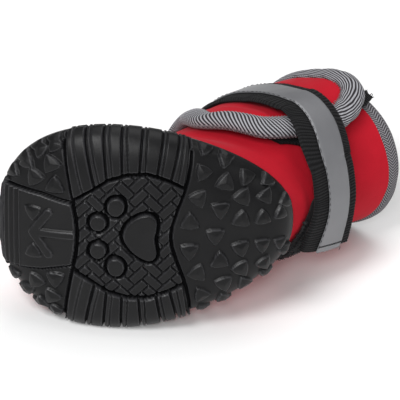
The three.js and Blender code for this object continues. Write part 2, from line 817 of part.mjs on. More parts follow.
function flapSolid() {
  const ups = [0, 0.03, 0.08, 0.14, 0.24, 0.34, 0.45, 0.58, 0.72, 0.87, 0.95, 1];
  const overs = Array.from({ length: flapColumns + 1 }, (_, j) => j / flapColumns);
  const grid = (height) => ups.map((up) => overs.map((over) => flapPoint(
    mix(panelInset, 1 - panelInset, up), mix(panelStart, flapReach(up) - panelInset, over), height)));
  const panel = toManifold(sheetBody(grid(flapThickness), grid(0)));
  return toGeometry(panel.subtract(toManifold(rollBody(clearance, 2 * flapThickness))));
}

// A black hook strip is sewn to the upper under the flap's edge
const hookStripRows = [3.75, 4.1, 4.5, 4.9, 5.4, 5.9, 6.5, 6.9, 7.3, 7.7, 8.12];
const hookStripShares = [0, 1 / 3, 2 / 3, 1];
const hookStripShow = 1;

function hookStripSolid() {
  const degreesPerLength = 1 / (shaftWidth / 2) / degree;
  const outer = (rollWidth / 2 + hookStripShow) * degreesPerLength;
  const grid = (lift) => hookStripRows.map((row) => hookStripShares.map((share) => {
    const edge = tableAt(hookPath, 'row', row, 'angle') + outer;
    const angle = edge - hookStripWidth * degreesPerLength * share;
    return upperPoint(row, angle * degree, lift + collarStep(row));
  }));
  return sheetBody(grid(clearance + hookStripThickness), grid(clearance));
}

// The strap: sewn on the right, over the flap, round the heel, with its free end on the loop patch.
// Above is its height over what it crosses, and tip how far its collar side rises over its width.
const strapRoute = [
  { angle: -75, row: 5.9, over: 'upper', above: 0.0, tip: 0.0 },
  { angle: -58, row: 6.1, over: 'upper', above: 1.0, tip: 0.0 },
  { angle: -40, row: 6.4, over: 'flap', above: 0.1, tip: 0.0 },
  { angle: 0, row: 6.52, over: 'flap', above: 0.3, tip: 0.0 },
  { angle: 40, row: 6.3, over: 'flap', above: 0.1, tip: 0.0 },
  { angle: 65, row: 6.08, over: 'flap', above: 0.0, tip: 0.0 },
  { angle: 80, row: 5.9, over: 'flap', above: 0.1, tip: 0.0 },
  { angle: 90, row: 5.76, over: 'flap', above: 0.5, tip: 0.0 },
  { angle: 100, row: 5.57, over: 'flap', above: 1.3, tip: 0.0 },
  { angle: 109, row: 5.4, over: 'flap', above: 2.3, tip: 0.0 },
  { angle: 118, row: 5.26, over: 'roll', above: 0.0, tip: 0.0 },
  { angle: 130, row: 4.98, over: 'roll', above: 0.0, tip: 0.0 },
  { angle: 141, row: 4.55, over: 'roll', above: -0.1, tip: 0.0 },
  { angle: 151, row: 4.22, over: 'patch', above: 2.8, tip: 0.06 },
  { angle: 159, row: 4.1, over: 'patch', above: 2.0, tip: 0.1 },
  { angle: 168, row: 4.03, over: 'patch', above: 1.3, tip: 0.13 },
  { angle: 177, row: 3.98, over: 'patch', above: 1.1, tip: 0.15 },
  { angle: 186, row: 3.9, over: 'patch', above: 1.3, tip: 0.18 },
  { angle: 194, row: 3.86, over: 'patch', above: 1.6, tip: 0.22 },
  { angle: 201, row: 3.87, over: 'patch', above: 2.2, tip: 0.27 },
  { angle: 208, row: 3.9, over: 'patch', above: 3.0, tip: 0.3 },
];
const layerTop = {
  upper: clearance,
  flap: 2 * clearance + flapThickness,
  roll: 3.5 * clearance + hookStripThickness + rollThickness,
  patch: 2 * clearance + patchThickness,
};
const strapTable = strapRoute.map((stop) => ({ ...stop, lift: layerTop[stop.over] + stop.above }));

const walkSteps = 2;

// Steps over the skin from one place by a distance along a direction
function walk(row, angle, direction, distance) {
  let place = { row, angle };
  for (let i = 0; i < walkSteps; i += 1) {
    const up = skinPoint(place.row + nudge, place.angle).sub(skinPoint(place.row - nudge, place.angle))
      .divideScalar(2 * nudge);
    const round = skinPoint(place.row, place.angle + nudge).sub(skinPoint(place.row, place.angle - nudge))
      .divideScalar(2 * nudge);
    const target = direction.clone().multiplyScalar(distance / walkSteps);
    const uu = up.dot(up);
    const ur = up.dot(round);
    const rr = round.dot(round);
    const tu = target.dot(up);
    const tr = target.dot(round);
    const det = uu * rr - ur * ur;
    place = { row: place.row + (tu * rr - tr * ur) / det, angle: place.angle + (tr * uu - tu * ur) / det };
  }
  return place;
}

const strapSteps = 42;
const strapAcross = [-0.5, 0, 0.5];

function strapSheet(width, shift, base, thickness) {
  const first = strapTable[0].angle;
  const last = strapTable[strapTable.length - 1].angle;
  const stations = Array.from({ length: strapSteps + 1 }, (_, i) => {
    const angle = mix(first, last, i / strapSteps);
    return {
      angle: angle * degree,
      row: tableAt(strapTable, 'angle', angle, 'row'),
      lift: tableAt(strapTable, 'angle', angle, 'lift'),
      tip: tableAt(strapTable, 'angle', angle, 'tip'),
    };
  });
  const grid = (height) => stations.map(({ angle, row, lift, tip }, i) => {
    const before = stations[Math.max(i - 1, 0)];
    const after = stations[Math.min(i + 1, strapSteps)];
    const along = skinPoint(after.row, after.angle).sub(skinPoint(before.row, before.angle)).normalize();
    const side = skinNormal(row, angle).cross(along).normalize();
    return strapAcross.map((share) => {
      const across = share * width + shift;
      const place = walk(row, angle, side, across);
      return upperPoint(place.row, place.angle, lift + height + tip * across);
    });
  });
  return sheetBody(grid(base + thickness), grid(base));
}

const strapSolid = () => strapSheet(strapWidth, 0, 0, strapThickness);
const tapeSolid = () => strapSheet(tapeWidth, tapeShift, strapThickness + clearance, tapeThickness);

// The loop patch under the strap's end
const patchCorners = { start: 172, end: 236 };
const patchBottom = [
  { share: 0.0, row: 2.85 },
  { share: 0.3, row: 2.6 },
  { share: 0.6, row: 2.5 },
  { share: 1.0, row: 3.1 },
];
const patchTop = [
  { share: 0.0, row: 4.7 },
  { share: 0.5, row: 4.9 },
  { share: 1.0, row: 5.4 },
];

const patchSteps = { up: 5, over: 8 };

function patchSolid() {
  const grid = (lift) => gridOf(patchSteps, (up, over) => {
    const bottom = tableAt(patchBottom, 'share', over, 'row');
    const top = tableAt(patchTop, 'share', over, 'row');
    return upperPoint(mix(bottom, top, up), mix(patchCorners.start, patchCorners.end, over) * degree, lift);
  });
  return sheetBody(grid(clearance + patchThickness), grid(clearance));
}

const finishes = {
  rubber: new THREE.MeshStandardMaterial({ color: 0x2a2a2c, roughness: 0.55, metalness: 0 }),
  felt: new THREE.MeshStandardMaterial({ color: 0x4a4a4c, roughness: 0.95, metalness: 0 }),
  neoprene: new THREE.MeshStandardMaterial({ color: 0xc01f30, roughness: 0.85, metalness: 0 }),
  stripedBinding: new THREE.MeshStandardMaterial({ color: 0x8d8b92, roughness: 0.8, metalness: 0 }),
  greyBinding: new THREE.MeshStandardMaterial({ color: 0x77767c, roughness: 0.85, metalness: 0 }),
  webbing: new THREE.MeshStandardMaterial({ color: 0x1a1a1c, roughness: 0.8, metalness: 0 }),
  tape: new THREE.MeshStandardMaterial({ color: 0x828388, roughness: 0.45, metalness: 0.1 }),
};

const pieces = [
  { name: 'outsole', make: outsoleSolid, finish: finishes.rubber, density: 1.1 },
  { name: 'insole', make: insoleSolid, finish: finishes.felt, density: 0.25 },
  { name: 'upper', make: upperSolid, finish: finishes.neoprene, density: 0.35 },
  { name: 'collar_binding', make: collarBindingSolid, finish: finishes.greyBinding, density: 0.4 },
  { name: 'hook_strip', make: hookStripSolid, finish: finishes.webbing, density: 0.6 },
  { name: 'flap', make: flapSolid, finish: finishes.neoprene, density: 0.35 },
  { name: 'flap_binding', make: () => rollBody(0, 0), finish: finishes.stripedBinding, density: 0.4 },
  { name: 'loop_patch', make: patchSolid, finish: finishes.webbing, density: 0.4 },
  { name: 'strap', make: strapSolid, finish: finishes.webbing, density: 0.7 },
  { name: 'reflective_tape', make: tapeSolid, finish: finishes.tape, density: 1.0 },
];

const bootie = new THREE.Group();
for (const { name, make, finish } of pieces) {
  const mesh = new THREE.Mesh(make(), finish);
  mesh.name = name;
  bootie.add(mesh);
}

// Centre of mass in the shoe's own axes, in mm, from each closed mesh and its density
function centreOfMass() {
  const centre = new THREE.Vector3();
  const corners = [new THREE.Vector3(), new THREE.Vector3(), new THREE.Vector3()];
  const cross = new THREE.Vector3();
  let total = 0;
  bootie.children.forEach((mesh, number) => {
    const { position } = mesh.geometry.attributes;
    const { index } = mesh.geometry;
    for (let i = 0; i < index.count; i += 3) {
      corners.forEach((corner, k) => corner.fromBufferAttribute(position, index.getX(i + k)));
      const volume = cross.crossVectors(corners[1], corners[2]).dot(corners[0]) / 6;
      const weight = pieces[number].density * volume;
      total += weight;
      for (const corner of corners) centre.addScaledVector(corner, weight / 4);
    }
  });
  return centre.divideScalar(total);
}

const rightward = 0.8;

// The face of its convex hull that the bootie rests on when it lies on its right side
function restingNormal(centre) {
  const points = [];
  for (const mesh of bootie.children) {
    const { position } = mesh.geometry.attributes;
    for (let i = 0; i < position.count; i += 1) {
      points.push(new THREE.Vector3().fromBufferAttribute(position, i));
    }
  }
  const hull = new ConvexHull().setFromPoints(points);
  const foot = new THREE.Vector3();
  let best = null;
  for (const face of hull.faces) {
    if (face.normal.y < rightward) continue;
    const distance = face.distanceToPoint(centre);
    foot.copy(centre).addScaledVector(face.normal, -distance);
    const { edge } = face;
    const corner = [edge, edge.next, edge.next.next].map((one) => one.head().point);
    if (new THREE.Triangle(...corner).containsPoint(foot) && (!best || -distance < best.height)) {
      best = { height: -distance, normal: face.normal.clone() };
    }
  }
  return best.normal;
}

// Lies on its right side: x still runs from toe to heel, and the tread faces -Y
function layDown() {
  const down = restingNormal(centreOfMass());
  const up = down.clone().negate();
  const along = new THREE.Vector3(1, 0, 0).addScaledVector(down, -down.x).normalize();
  const back = up.clone().cross(along).normalize();
  const toShoe = new THREE.Matrix4().makeBasis(along, back, up);
  bootie.quaternion.setFromRotationMatrix(toShoe.transpose());
  bootie.updateMatrixWorld(true);
  const box = new THREE.Box3().setFromObject(bootie, true);
  const centre = box.getCenter(new THREE.Vector3());
  bootie.position.set(-centre.x, -centre.y, -box.min.z);
}
layDown();

export default bootie;
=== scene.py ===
import math

import bmesh
import bpy
import numpy as np
from mathutils import Matrix, Vector


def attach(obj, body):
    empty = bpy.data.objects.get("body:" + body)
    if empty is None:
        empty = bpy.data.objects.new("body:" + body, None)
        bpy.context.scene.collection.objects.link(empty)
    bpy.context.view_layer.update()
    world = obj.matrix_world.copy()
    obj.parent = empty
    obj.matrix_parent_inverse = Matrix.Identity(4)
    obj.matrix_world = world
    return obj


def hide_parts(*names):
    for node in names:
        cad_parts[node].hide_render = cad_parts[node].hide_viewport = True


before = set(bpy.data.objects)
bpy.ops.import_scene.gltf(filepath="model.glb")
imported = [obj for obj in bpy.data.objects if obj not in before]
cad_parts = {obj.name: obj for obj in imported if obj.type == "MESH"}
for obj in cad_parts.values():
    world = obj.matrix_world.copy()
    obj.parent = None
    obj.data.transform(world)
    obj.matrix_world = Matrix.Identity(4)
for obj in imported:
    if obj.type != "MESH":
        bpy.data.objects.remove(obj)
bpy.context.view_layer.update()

mm = 0.001
fullTurn = 2 * math.pi
quarter = math.pi / 2

# The boot's own axes (x toe to heel, y wearer's right, z up from the tread) and where they lie
lying = {
    "toHeel": (0.99905801, 0.0, 0.04339453),
    "toRight": (0.04286982, -0.15503969, -0.98697765),
    "offTread": (0.00672787, 0.98790824, -0.15489364),
    "start": (-51.095440, -34.869808, 25.769521),
}
bootAxes = np.array([lying["toHeel"], lying["toRight"], lying["offTread"]])


def toFloor(points):
    return (np.asarray(points, float) @ bootAxes + lying["start"]) * mm


# Small helpers: ramps, tables, meshes

def ramp(low, high, value):
    share = np.clip((value - low) / (high - low), 0, 1)
    return share * share * (3 - 2 * share)


def blend(low, high, share):
    return low + (high - low) * share


def readTable(rows, places, column=1):
    # smooth curve through one column of the rows, by their first column
    keys = np.array([row[0] for row in rows], float)
    values = np.array([row[column] for row in rows], float)
    at = np.asarray(places, float)
    row = np.clip(np.searchsorted(keys, at, side="left") - 1, 0, len(keys) - 2)
    before = values[np.maximum(row - 1, 0)]
    low, high = values[row], values[row + 1]
    after = values[np.minimum(row + 2, len(keys) - 1)]
    t = np.clip((at - keys[row]) / (keys[row + 1] - keys[row]), 0, 1)
    cube, square = t ** 3, t ** 2
    return ((2 * cube - 3 * square + 1) * low + (cube - 2 * square + t) * (high - before) / 2
            + (3 * square - 2 * cube) * high + (cube - square) * (after - low) / 2)


def readLine(points, places, key=0):
    # straight stretches between points, read by one of their two numbers
    keys, values = zip(*sorted((point[key], point[1 - key]) for point in points))
    return np.interp(places, keys, values)


def unit(vectors):
    return vectors / np.maximum(np.linalg.norm(vectors, axis=-1, keepdims=True), 1e-12)


def lengthAlong(points):
    return np.concatenate([[0], np.cumsum(np.linalg.norm(np.diff(points, axis=0), axis=1))])


def circle(count):
    return np.linspace(0, fullTurn, count, endpoint=False)


def addPiece(name, data):
    piece = bpy.data.objects.new(name, data)
    bpy.context.scene.collection.objects.link(piece)
    return piece


def makeMesh(name, points, faces, finish, uvs=None, marks=None):
    mesh = bpy.data.meshes.new(name)
    mesh.from_pydata(toFloor(points).tolist(), [], faces)
    if uvs is not None:
        layer = mesh.uv_layers.new(name="UVMap")
        corners = np.empty(len(mesh.loops), int)
        mesh.loops.foreach_get("vertex_index", corners)
        layer.data.foreach_set("uv", np.asarray(uvs, float)[corners].ravel())
    for markName, values in (marks or {}).items():
        mark = mesh.attributes.new(markName, "FLOAT", "POINT")
        mark.data.foreach_set("value", np.asarray(values, float))
    mesh.polygons.foreach_set("use_smooth", [True] * len(mesh.polygons))
    mesh.materials.append(finish)
    work = bmesh.new()
    work.from_mesh(mesh)
    bmesh.ops.recalc_face_normals(work, faces=work.faces)
    work.to_mesh(mesh)
    work.free()
    piece = addPiece(name, mesh)
    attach(piece, "root")
    return piece


def gridFaces(rows, columns, start=0, closed=False, flip=False):
    lastColumn = columns if closed else columns - 1
    i, j = np.meshgrid(np.arange(rows - 1), np.arange(lastColumn), indexing="ij")
    k = (j + 1) % columns
    quads = np.stack([i * columns + j, i * columns + k, (i + 1) * columns + k, (i + 1) * columns + j], -1)
    quads = quads.reshape(-1, 4) + start
    return (quads[:, ::-1] if flip else quads).tolist()


def tubeFaces(rows, columns, start=0):
    end = start + rows * columns
    ends = [list(range(start, start + columns))[::-1], list(range(end - columns, end))]
    return gridFaces(rows, columns, start, True) + ends


def gridRim(rows, columns):
    # the outer points of a grid, once round
    index = np.arange(rows * columns).reshape(rows, columns)
    return np.concatenate([index[0, :-1], index[:-1, -1], index[-1, :0:-1], index[:0:-1, 0]])


def closedSheet(outer, inner):
    rows, columns = outer.shape[:2]
    shift = rows * columns
    faces = gridFaces(rows, columns) + gridFaces(rows, columns, shift, False, True)
    loop = gridRim(rows, columns)
    ahead = np.roll(loop, -1)
    faces += np.stack([loop, loop + shift, ahead + shift, ahead], -1).tolist()
    return np.concatenate([outer.reshape(-1, 3), inner.reshape(-1, 3)]), faces


def uvGrid(along, across):
    return np.stack(np.broadcast_arrays(along, across), -1).reshape(-1, 2)


def edgeDistance(along, out, a, b):
    edge = np.subtract(b, a)
    t = np.clip(((along - a[0]) * edge[0] + (out - a[1]) * edge[1]) / (edge @ edge), 0, 1)
    return np.hypot(along - a[0] - t * edge[0], out - a[1] - t * edge[1])


def lineDistance(along, out, points):
    return np.minimum.reduce([edgeDistance(along, out, a, b) for a, b in zip(points[:-1], points[1:])])


def outlineDistance(along, out, corners):
    # distance to a closed outline, negative inside
    points = [*corners, corners[0]]
    inside = np.zeros(along.shape, bool)
    for a, b in zip(points[:-1], points[1:]):
        if a[1] != b[1]:
            crosses = (a[1] > out) != (b[1] > out)
            inside ^= crosses & (along < (out - a[1]) / (b[1] - a[1]) * (b[0] - a[0]) + a[0])
    best = lineDistance(along, out, points)
    return np.where(inside, -best, best)


def roundedLoop(corners):
    points = np.asarray(corners, float)
    for _ in range(2):
        ahead = np.roll(points, -1, 0)
        points = np.stack([points * 0.75 + ahead * 0.25, points * 0.25 + ahead * 0.75], 1).reshape(-1, 2)
    return points


# Finishes

def newFinish(name, colour, roughness, specular, sheen=0.0):
    finish = bpy.data.materials.new(name)
    finish.use_nodes = True
    tree = finish.node_tree
    shader = tree.nodes["Principled BSDF"]
    shader.inputs["Base Color"].default_value = (*colour, 1)
    shader.inputs["Roughness"].default_value = roughness
    shader.inputs["Specular IOR Level"].default_value = specular
    shader.inputs["Sheen Weight"].default_value = sheen
    return finish, tree, shader


def feed(tree, socket, value):
    # value is a number, a colour or another node's output
    if isinstance(value, (int, float)):
        socket.default_value = value
    elif isinstance(value, tuple):
        socket.default_value = (*value, 1)
    else:
        tree.links.new(value, socket)


def addNode(tree, kind, **values):
    node = tree.nodes.new(kind)
    for name, value in values.items():
        node.inputs[name].default_value = value
    return node


def maths(tree, operation, *values):
    node = addNode(tree, "ShaderNodeMath")
    node.operation = operation
    for socket, value in zip(node.inputs, values):
        feed(tree, socket, value)
    return node.outputs[0]


def noiseAt(tree, size, detail=3.0, rough=0.55):
    # speckles about size millimetres across, fixed to the piece
    where = tree.nodes.new("ShaderNodeTexCoord")
    noise = addNode(tree, "ShaderNodeTexNoise", Scale=1 / (size * mm), Detail=detail, Roughness=rough)
    tree.links.new(where.outputs["Object"], noise.inputs["Vector"])
    return noise.outputs["Fac"]


def readMark(tree, name):
    node = tree.nodes.new("ShaderNodeAttribute")
    node.attribute_name = name
    return node.outputs["Fac"]


def colourBetween(tree, factor, low, high, fromLow=0.0, toHigh=1.0):
    node = tree.nodes.new("ShaderNodeValToRGB")
    for element, colour, position in zip(node.color_ramp.elements, (low, high), (fromLow, toHigh)):
        element.color = (*colour, 1)
        element.position = position
    tree.links.new(factor, node.inputs[0])
    return node.outputs[0]


def mixColours(tree, factor, low, high):
    node = tree.nodes.new("ShaderNodeMix")
    node.data_type = "RGBA"
    for name, value in (("Factor", factor), ("A", low), ("B", high)):
        feed(tree, node.inputs[name], value)
    return node.outputs["Result"]


def speckled(tree, speck, share, under, colour):
    # a colour laid over another one where the speckle is strong
    return mixColours(tree, maths(tree, "MULTIPLY", speck, share), under, colour)


def addBump(tree, shader, height, strength, distance, under=None):
    bump = addNode(tree, "ShaderNodeBump", Strength=strength, Distance=distance * mm)
    tree.links.new(height, bump.inputs["Height"])
    if under is not None:
        tree.links.new(under, bump.inputs["Normal"])
    tree.links.new(bump.outputs[0], shader.inputs["Normal"])
    return bump.outputs[0]


def uvParts(tree):
    split = tree.nodes.new("ShaderNodeSeparateXYZ")
    tree.links.new(tree.nodes.new("ShaderNodeUVMap").outputs[0], split.inputs[0])
    return split.outputs[0], split.outputs[1]


def wave(tree, value, pitch):
    # 0 to 1 and back once each pitch
    turns = maths(tree, "MULTIPLY", value, fullTurn / pitch)
    return maths(tree, "MULTIPLY_ADD", maths(tree, "SINE", turns), 0.5, 0.5)


def makeRubber():
    finish, tree, shader = newFinish("moulded rubber", (0.006, 0.006, 0.0065), 0.4, 0.16)
    cloud, speck = noiseAt(tree, 9, 4), noiseAt(tree, 0.45, 3, 0.7)
    raised, edge = readMark(tree, "raised"), readMark(tree, "edge")
    body = colourBetween(tree, cloud, (0.0045, 0.0045, 0.005), (0.0075, 0.0075, 0.008), 0.3, 0.7)
    # painted shade: the colour darkens where the tread sinks into its grooves, following the raised mark
    paintedGrooveShade = mixColours(tree, raised, (0.0015, 0.0015, 0.0018), body)
    # painted highlight: proud edges are lighter in colour, broken up by the speckle
    paintedEdgeHighlight = mixColours(tree, maths(tree, "MULTIPLY", edge, speck), paintedGrooveShade, (0.045, 0.045, 0.05))
    dust = speckled(tree, speck, 0.02, paintedEdgeHighlight, (0.10, 0.10, 0.105))
    feed(tree, shader.inputs["Base Color"], dust)
    feed(tree, shader.inputs["Roughness"], maths(tree, "MULTIPLY_ADD", cloud, 0.2, 0.28))
    shine = maths(tree, "MULTIPLY_ADD", maths(tree, "ADD", raised, edge), 0.17, 0.02)
    feed(tree, shader.inputs["Specular IOR Level"], shine)
    fine = addBump(tree, shader, speck, 0.5, 0.06)
    addBump(tree, shader, cloud, 0.2, 0.4, fine)
    return finish


def makeNeoprene():
    finish, tree, shader = newFinish("neoprene jersey", (0.48, 0.007, 0.019), 0.85, 0.12, 0.10)
    patchy, nap = noiseAt(tree, 14, 3), noiseAt(tree, 0.45, 4, 0.7)
    red = colourBetween(tree, patchy, (0.44, 0.006, 0.017), (0.52, 0.008, 0.022), 0.35, 0.65)
    feed(tree, shader.inputs["Base Color"], speckled(tree, nap, 0.6, red, (0.31, 0.005, 0.013)))
    shader.inputs["Sheen Roughness"].default_value = 0.45
    shader.inputs["Sheen Tint"].default_value = (1, 0.35, 0.4, 1)
    fine = addBump(tree, shader, nap, 0.40, 0.12)
    addBump(tree, shader, noiseAt(tree, 5, 2), 0.25, 0.5, fine)
    return finish


stripes = {"pitch": 0.98, "slant": 0.7, "light": (0.44, 0.44, 0.47), "dark": (0.005, 0.004, 0.006)}


def makeStriped():
    finish, tree, shader = newFinish("striped binding", (0.25, 0.25, 0.27), 0.72, 0.3, 0.04)
    along, across = uvParts(tree)
    cords, knit = wave(tree, along, stripes["pitch"]), wave(tree, across, 0.34)
    body = colourBetween(tree, cords, stripes["dark"], stripes["light"], 0.40, 0.74)
    flecks = speckled(tree, knit, 0.25, body, (0.04, 0.037, 0.044))
    dyed = speckled(tree, noiseAt(tree, 1.2, 3), 0.18, flecks, (0.06, 0.055, 0.065))
    feed(tree, shader.inputs["Base Color"], dyed)
    fine = addBump(tree, shader, knit, 0.35, 0.08)
    addBump(tree, shader, cords, 0.5, 0.12, fine)
    return finish


def makeTwill():
    finish, tree, shader = newFinish("grey twill tape", (0.23, 0.22, 0.24), 0.8, 0.25, 0.04)
    along, across = uvParts(tree)
    folded = maths(tree, "PINGPONG", across, 1.1)  # the twill turns back on itself every 1.1 mm
    cords = wave(tree, maths(tree, "ADD", along, folded), 0.7)
    body = colourBetween(tree, cords, (0.012, 0.011, 0.013), (0.32, 0.31, 0.33), 0.34, 0.85)
    mottled = speckled(tree, noiseAt(tree, 0.7, 4, 0.7), 0.65, body, (0.085, 0.08, 0.09))
    feed(tree, shader.inputs["Base Color"], mottled)
    addBump(tree, shader, cords, 0.6, 0.14)
    return finish


webbingRib = 0.72


def makeWebbing():
    finish, tree, shader = newFinish("black webbing", (0.004, 0.004, 0.0045), 0.7, 0.12, 0.03)
    along, across = uvParts(tree)
    ribs, ends = wave(tree, along, webbingRib), wave(tree, across, 0.5)
    woven = maths(tree, "MULTIPLY", ribs, maths(tree, "MULTIPLY_ADD", ends, 0.5, 0.5))
    # painted highlight on the rib tops and painted shade between them, in step with the ribs' bump
    body = colourBetween(tree, ribs, (0.0012, 0.0012, 0.0015), (0.011, 0.011, 0.012), 0.15, 0.9)
    dusty = speckled(tree, noiseAt(tree, 0.7, 3), 0.05, body, (0.10, 0.10, 0.105))
    feed(tree, shader.inputs["Base Color"], dusty)
    addBump(tree, shader, woven, 0.9, 0.18)
    return finish


def makeTape():
    finish, tree, shader = newFinish("reflective tape", (0.16, 0.162, 0.172), 0.38, 0.8)
    beads, cloud = noiseAt(tree, 0.3, 2), noiseAt(tree, 12, 3)
    body = colourBetween(tree, cloud, (0.148, 0.150, 0.160), (0.176, 0.178, 0.188), 0.3, 0.7)
    feed(tree, shader.inputs["Base Color"], speckled(tree, beads, 0.25, body, (0.13, 0.13, 0.14)))
    shader.inputs["Metallic"].default_value = 0.15
    addBump(tree, shader, beads, 0.25, 0.03)
    return finish


def makeFelt(name, low, high):
    finish, tree, shader = newFinish(name, high, 0.95, 0.2, 0.05)
    fibres = noiseAt(tree, 0.6, 5, 0.75)
    feed(tree, shader.inputs["Base Color"], colourBetween(tree, fibres, low, high, 0.3, 0.7))
    addBump(tree, shader, fibres, 0.7, 0.25)
    return finish


def makeThread(name, colour):
    finish, tree, shader = newFinish(name, colour, 0.6, 0.35)
    twist = noiseAt(tree, 0.25, 2)
    dark = tuple(0.55 * part for part in colour)
    feed(tree, shader.inputs["Base Color"], colourBetween(tree, twist, dark, colour, 0.3, 0.6))
    addBump(tree, shader, twist, 0.6, 0.06)
    return finish


rubber = makeRubber()
neoprene = makeNeoprene()
striped = makeStriped()
twill = makeTwill()
webbing = makeWebbing()
tape = makeTape()
sockFelt = makeFelt("sock felt", (0.035, 0.035, 0.038), (0.10, 0.10, 0.105))
loopFelt = makeFelt("loop felt", (0.002, 0.002, 0.0025), (0.010, 0.010, 0.011))
lining = makeFelt("jersey lining", (0.012, 0.012, 0.014), (0.030, 0.030, 0.034))
blackThread = makeThread("black thread", (0.008, 0.008, 0.009))
greyThread = makeThread("grey thread", (0.22, 0.22, 0.235))
# painted highlight: the loops get a lighter colour than the felt they stand on, to stand for their highlights
loopThreadPaintedHighlight = makeThread("loop thread with painted highlight", (0.035, 0.035, 0.037))
paleThread = makeThread("pale thread", (0.55, 0.55, 0.56))
print("finishes ready")

# Camera, light and floor

view = {
    "tipX": -0.04, "tipY": 0.41, "roll": -1.0, "aim": (49.4, -0.8, 20.0), "distance": 650.0,
    "focus": 2600.0, "pixels": 400, "sensor": 36,
}


def makeCamera():
    offTread = np.array([view["tipX"], view["tipY"], 0.0])
    offTread[2] = -math.sqrt(1 - offTread @ offTread)
    toHeel = unit(np.array([1.0, 0, 0]) - offTread[0] * offTread)
    seen = np.stack([toHeel, np.cross(offTread, toHeel), offTread], 1)  # boot axes as the camera sees them
    turn = math.radians(view["roll"])
    c, s = math.cos(turn), math.sin(turn)
    right, up, back = np.array([[c, -s, 0], [s, c, 0], [0, 0, 1]]) @ seen @ bootAxes
    place = toFloor(view["aim"]) + back * view["distance"] * mm
    lens = bpy.data.cameras.new("camera")
    lens.sensor_width = view["sensor"]
    lens.lens = view["sensor"] * view["focus"] / view["pixels"]
    lens.clip_start, lens.clip_end = 0.05, 20
    camera = addPiece("camera", lens)
    camera.matrix_world = Matrix([*np.stack([right, up, back, place], 1).tolist(), (0, 0, 0, 1)])
    bpy.context.scene.camera = camera


skyStrength = 0.24
lights = {
    "key": {"at": (-0.45, -0.55, 0.95), "size": 0.45, "power": 8.0},
    "front": {"at": (-0.14, -0.98, 0.74), "size": 0.34, "power": 4.8},
    "top": {"at": (0.15, 0.35, 1.10), "size": 0.9, "power": 5.6},
    "side": {"at": (0.90, -0.45, 0.50), "size": 0.6, "power": 1.2},
}


def makeLights():
    target = Vector((0, 0, 0.02))
    for name, spot in lights.items():
        lamp = bpy.data.lights.new(name, "AREA")
        lamp.size, lamp.energy = spot["size"], spot["power"]
        lampPiece = addPiece(name, lamp)
        lampPiece.location = spot["at"]
        lampPiece.rotation_euler = (target - Vector(spot["at"])).to_track_quat("-Z", "Y").to_euler()
    world = bpy.data.worlds.new("studio")
    world.use_nodes = True
    background = world.node_tree.nodes["Background"]
    background.inputs["Color"].default_value = (1, 1, 1, 1)
    background.inputs["Strength"].default_value = skyStrength
    bpy.context.scene.world = world


def makeFloor():
    finish, tree, shader = newFinish("pale floor", (0.93, 0.93, 0.93), 0.9, 0.1)
    faint = colourBetween(tree, noiseAt(tree, 60, 2), (0.92, 0.92, 0.92), (0.94, 0.94, 0.94))
    feed(tree, shader.inputs["Base Color"], faint)
    mesh = bpy.data.meshes.new("floor")
    half = 4.0
    corners = [(-half, -half, 0), (half, -half, 0), (half, half, 0), (-half, half, 0)]
    mesh.from_pydata(corners, [], [(0, 1, 2, 3)])
    mesh.materials.append(finish)
    floor = addPiece("floor", mesh)


makeCamera()
makeLights()
makeFloor()
bpy.context.scene.view_settings.view_transform = "Standard"
print("camera, light and floor ready")

# Sole: the cup's surface, and the tread drawn on it

soleSizes = {
    "length": 72.0, "width": 50.4, "fullness": 0.84, "toeWidening": 0.23,
    "rise": (12.5, 8.0, 10.5), "riseCurve": 2.2,  # at the toe, the side and the heel
    "round": (2.15, 3.5, 2.2), "roundCurve": 1.2,
    "thickness": 3.0, "rimWall": 2.0, "clearance": 0.3,
}
toeRise, sideRise, heelRise = soleSizes["rise"]
middle = soleSizes["length"] / 2
halfWidth = soleSizes["width"] / 2
gap = soleSizes["clearance"]


def roundTheRim(values, cosine, curve):
    # a size given at the toe, the side and the heel
    atToe, atSide, atHeel = values
    toe, heel = np.maximum(0, cosine) ** curve, np.maximum(0, -cosine) ** curve
    return atSide + (atToe - atSide) * toe + (atHeel - atSide) * heel


def rimAt(angle):
    s, c = np.sin(angle), np.cos(angle)
    x = middle * (1 - c)
    y = -halfWidth * np.sign(s) * np.abs(s) ** soleSizes["fullness"] * (1 + soleSizes["toeWidening"] * c)
    z = roundTheRim(soleSizes["rise"], c, soleSizes["riseCurve"])
    return x, y, z, roundTheRim(soleSizes["round"], c, soleSizes["roundCurve"])


def cupPoint(angle, turn, inset=0.0, floor=0.0):
    x, y, z, n = rimAt(angle)
    out = np.sin(turn) ** (2 / n)
    up = 1 - np.maximum(0, np.cos(turn)) ** (2 / n)
    return np.stack(np.broadcast_arrays(middle + (x - middle) * (1 - inset / middle) * out,
                                        y * (1 - inset / halfWidth) * out, floor + (z - floor) * up), -1)


# distances over the underside, measured outwards from its middle along rays
rays, raySteps, rayCrowding, rimSteps = 720, 60, 1.6, 9001
rimX, rimY, *_ = rimAt(np.linspace(1e-6, fullTurn - 1e-6, rimSteps))
rayAngles = np.interp(np.linspace(0, fullTurn, rays + 1),
                      np.unwrap(np.arctan2(rimY, rimX - middle)) + math.pi,
                      np.linspace(0, fullTurn, rimSteps))
rayTurns = quarter * (np.arange(raySteps + 1) / raySteps) ** rayCrowding
rayPoints = cupPoint(rayAngles[:, None], rayTurns[None, :])
rayReach = np.pad(np.cumsum(np.linalg.norm(np.diff(rayPoints, axis=1), axis=-1), 1), ((0, 0), (1, 0)))


def betweenRays(values, direction):
    at = np.clip((direction + math.pi) / fullTurn * rays, 0, rays)
    low = np.minimum(at.astype(int), rays - 1)
    share = (at - low).reshape(at.shape + (1,) * (values.ndim - 1))
    return values[low] * (1 - share) + values[low + 1] * share


def rimReach(direction):
    return betweenRays(rayReach[:, -1], direction)


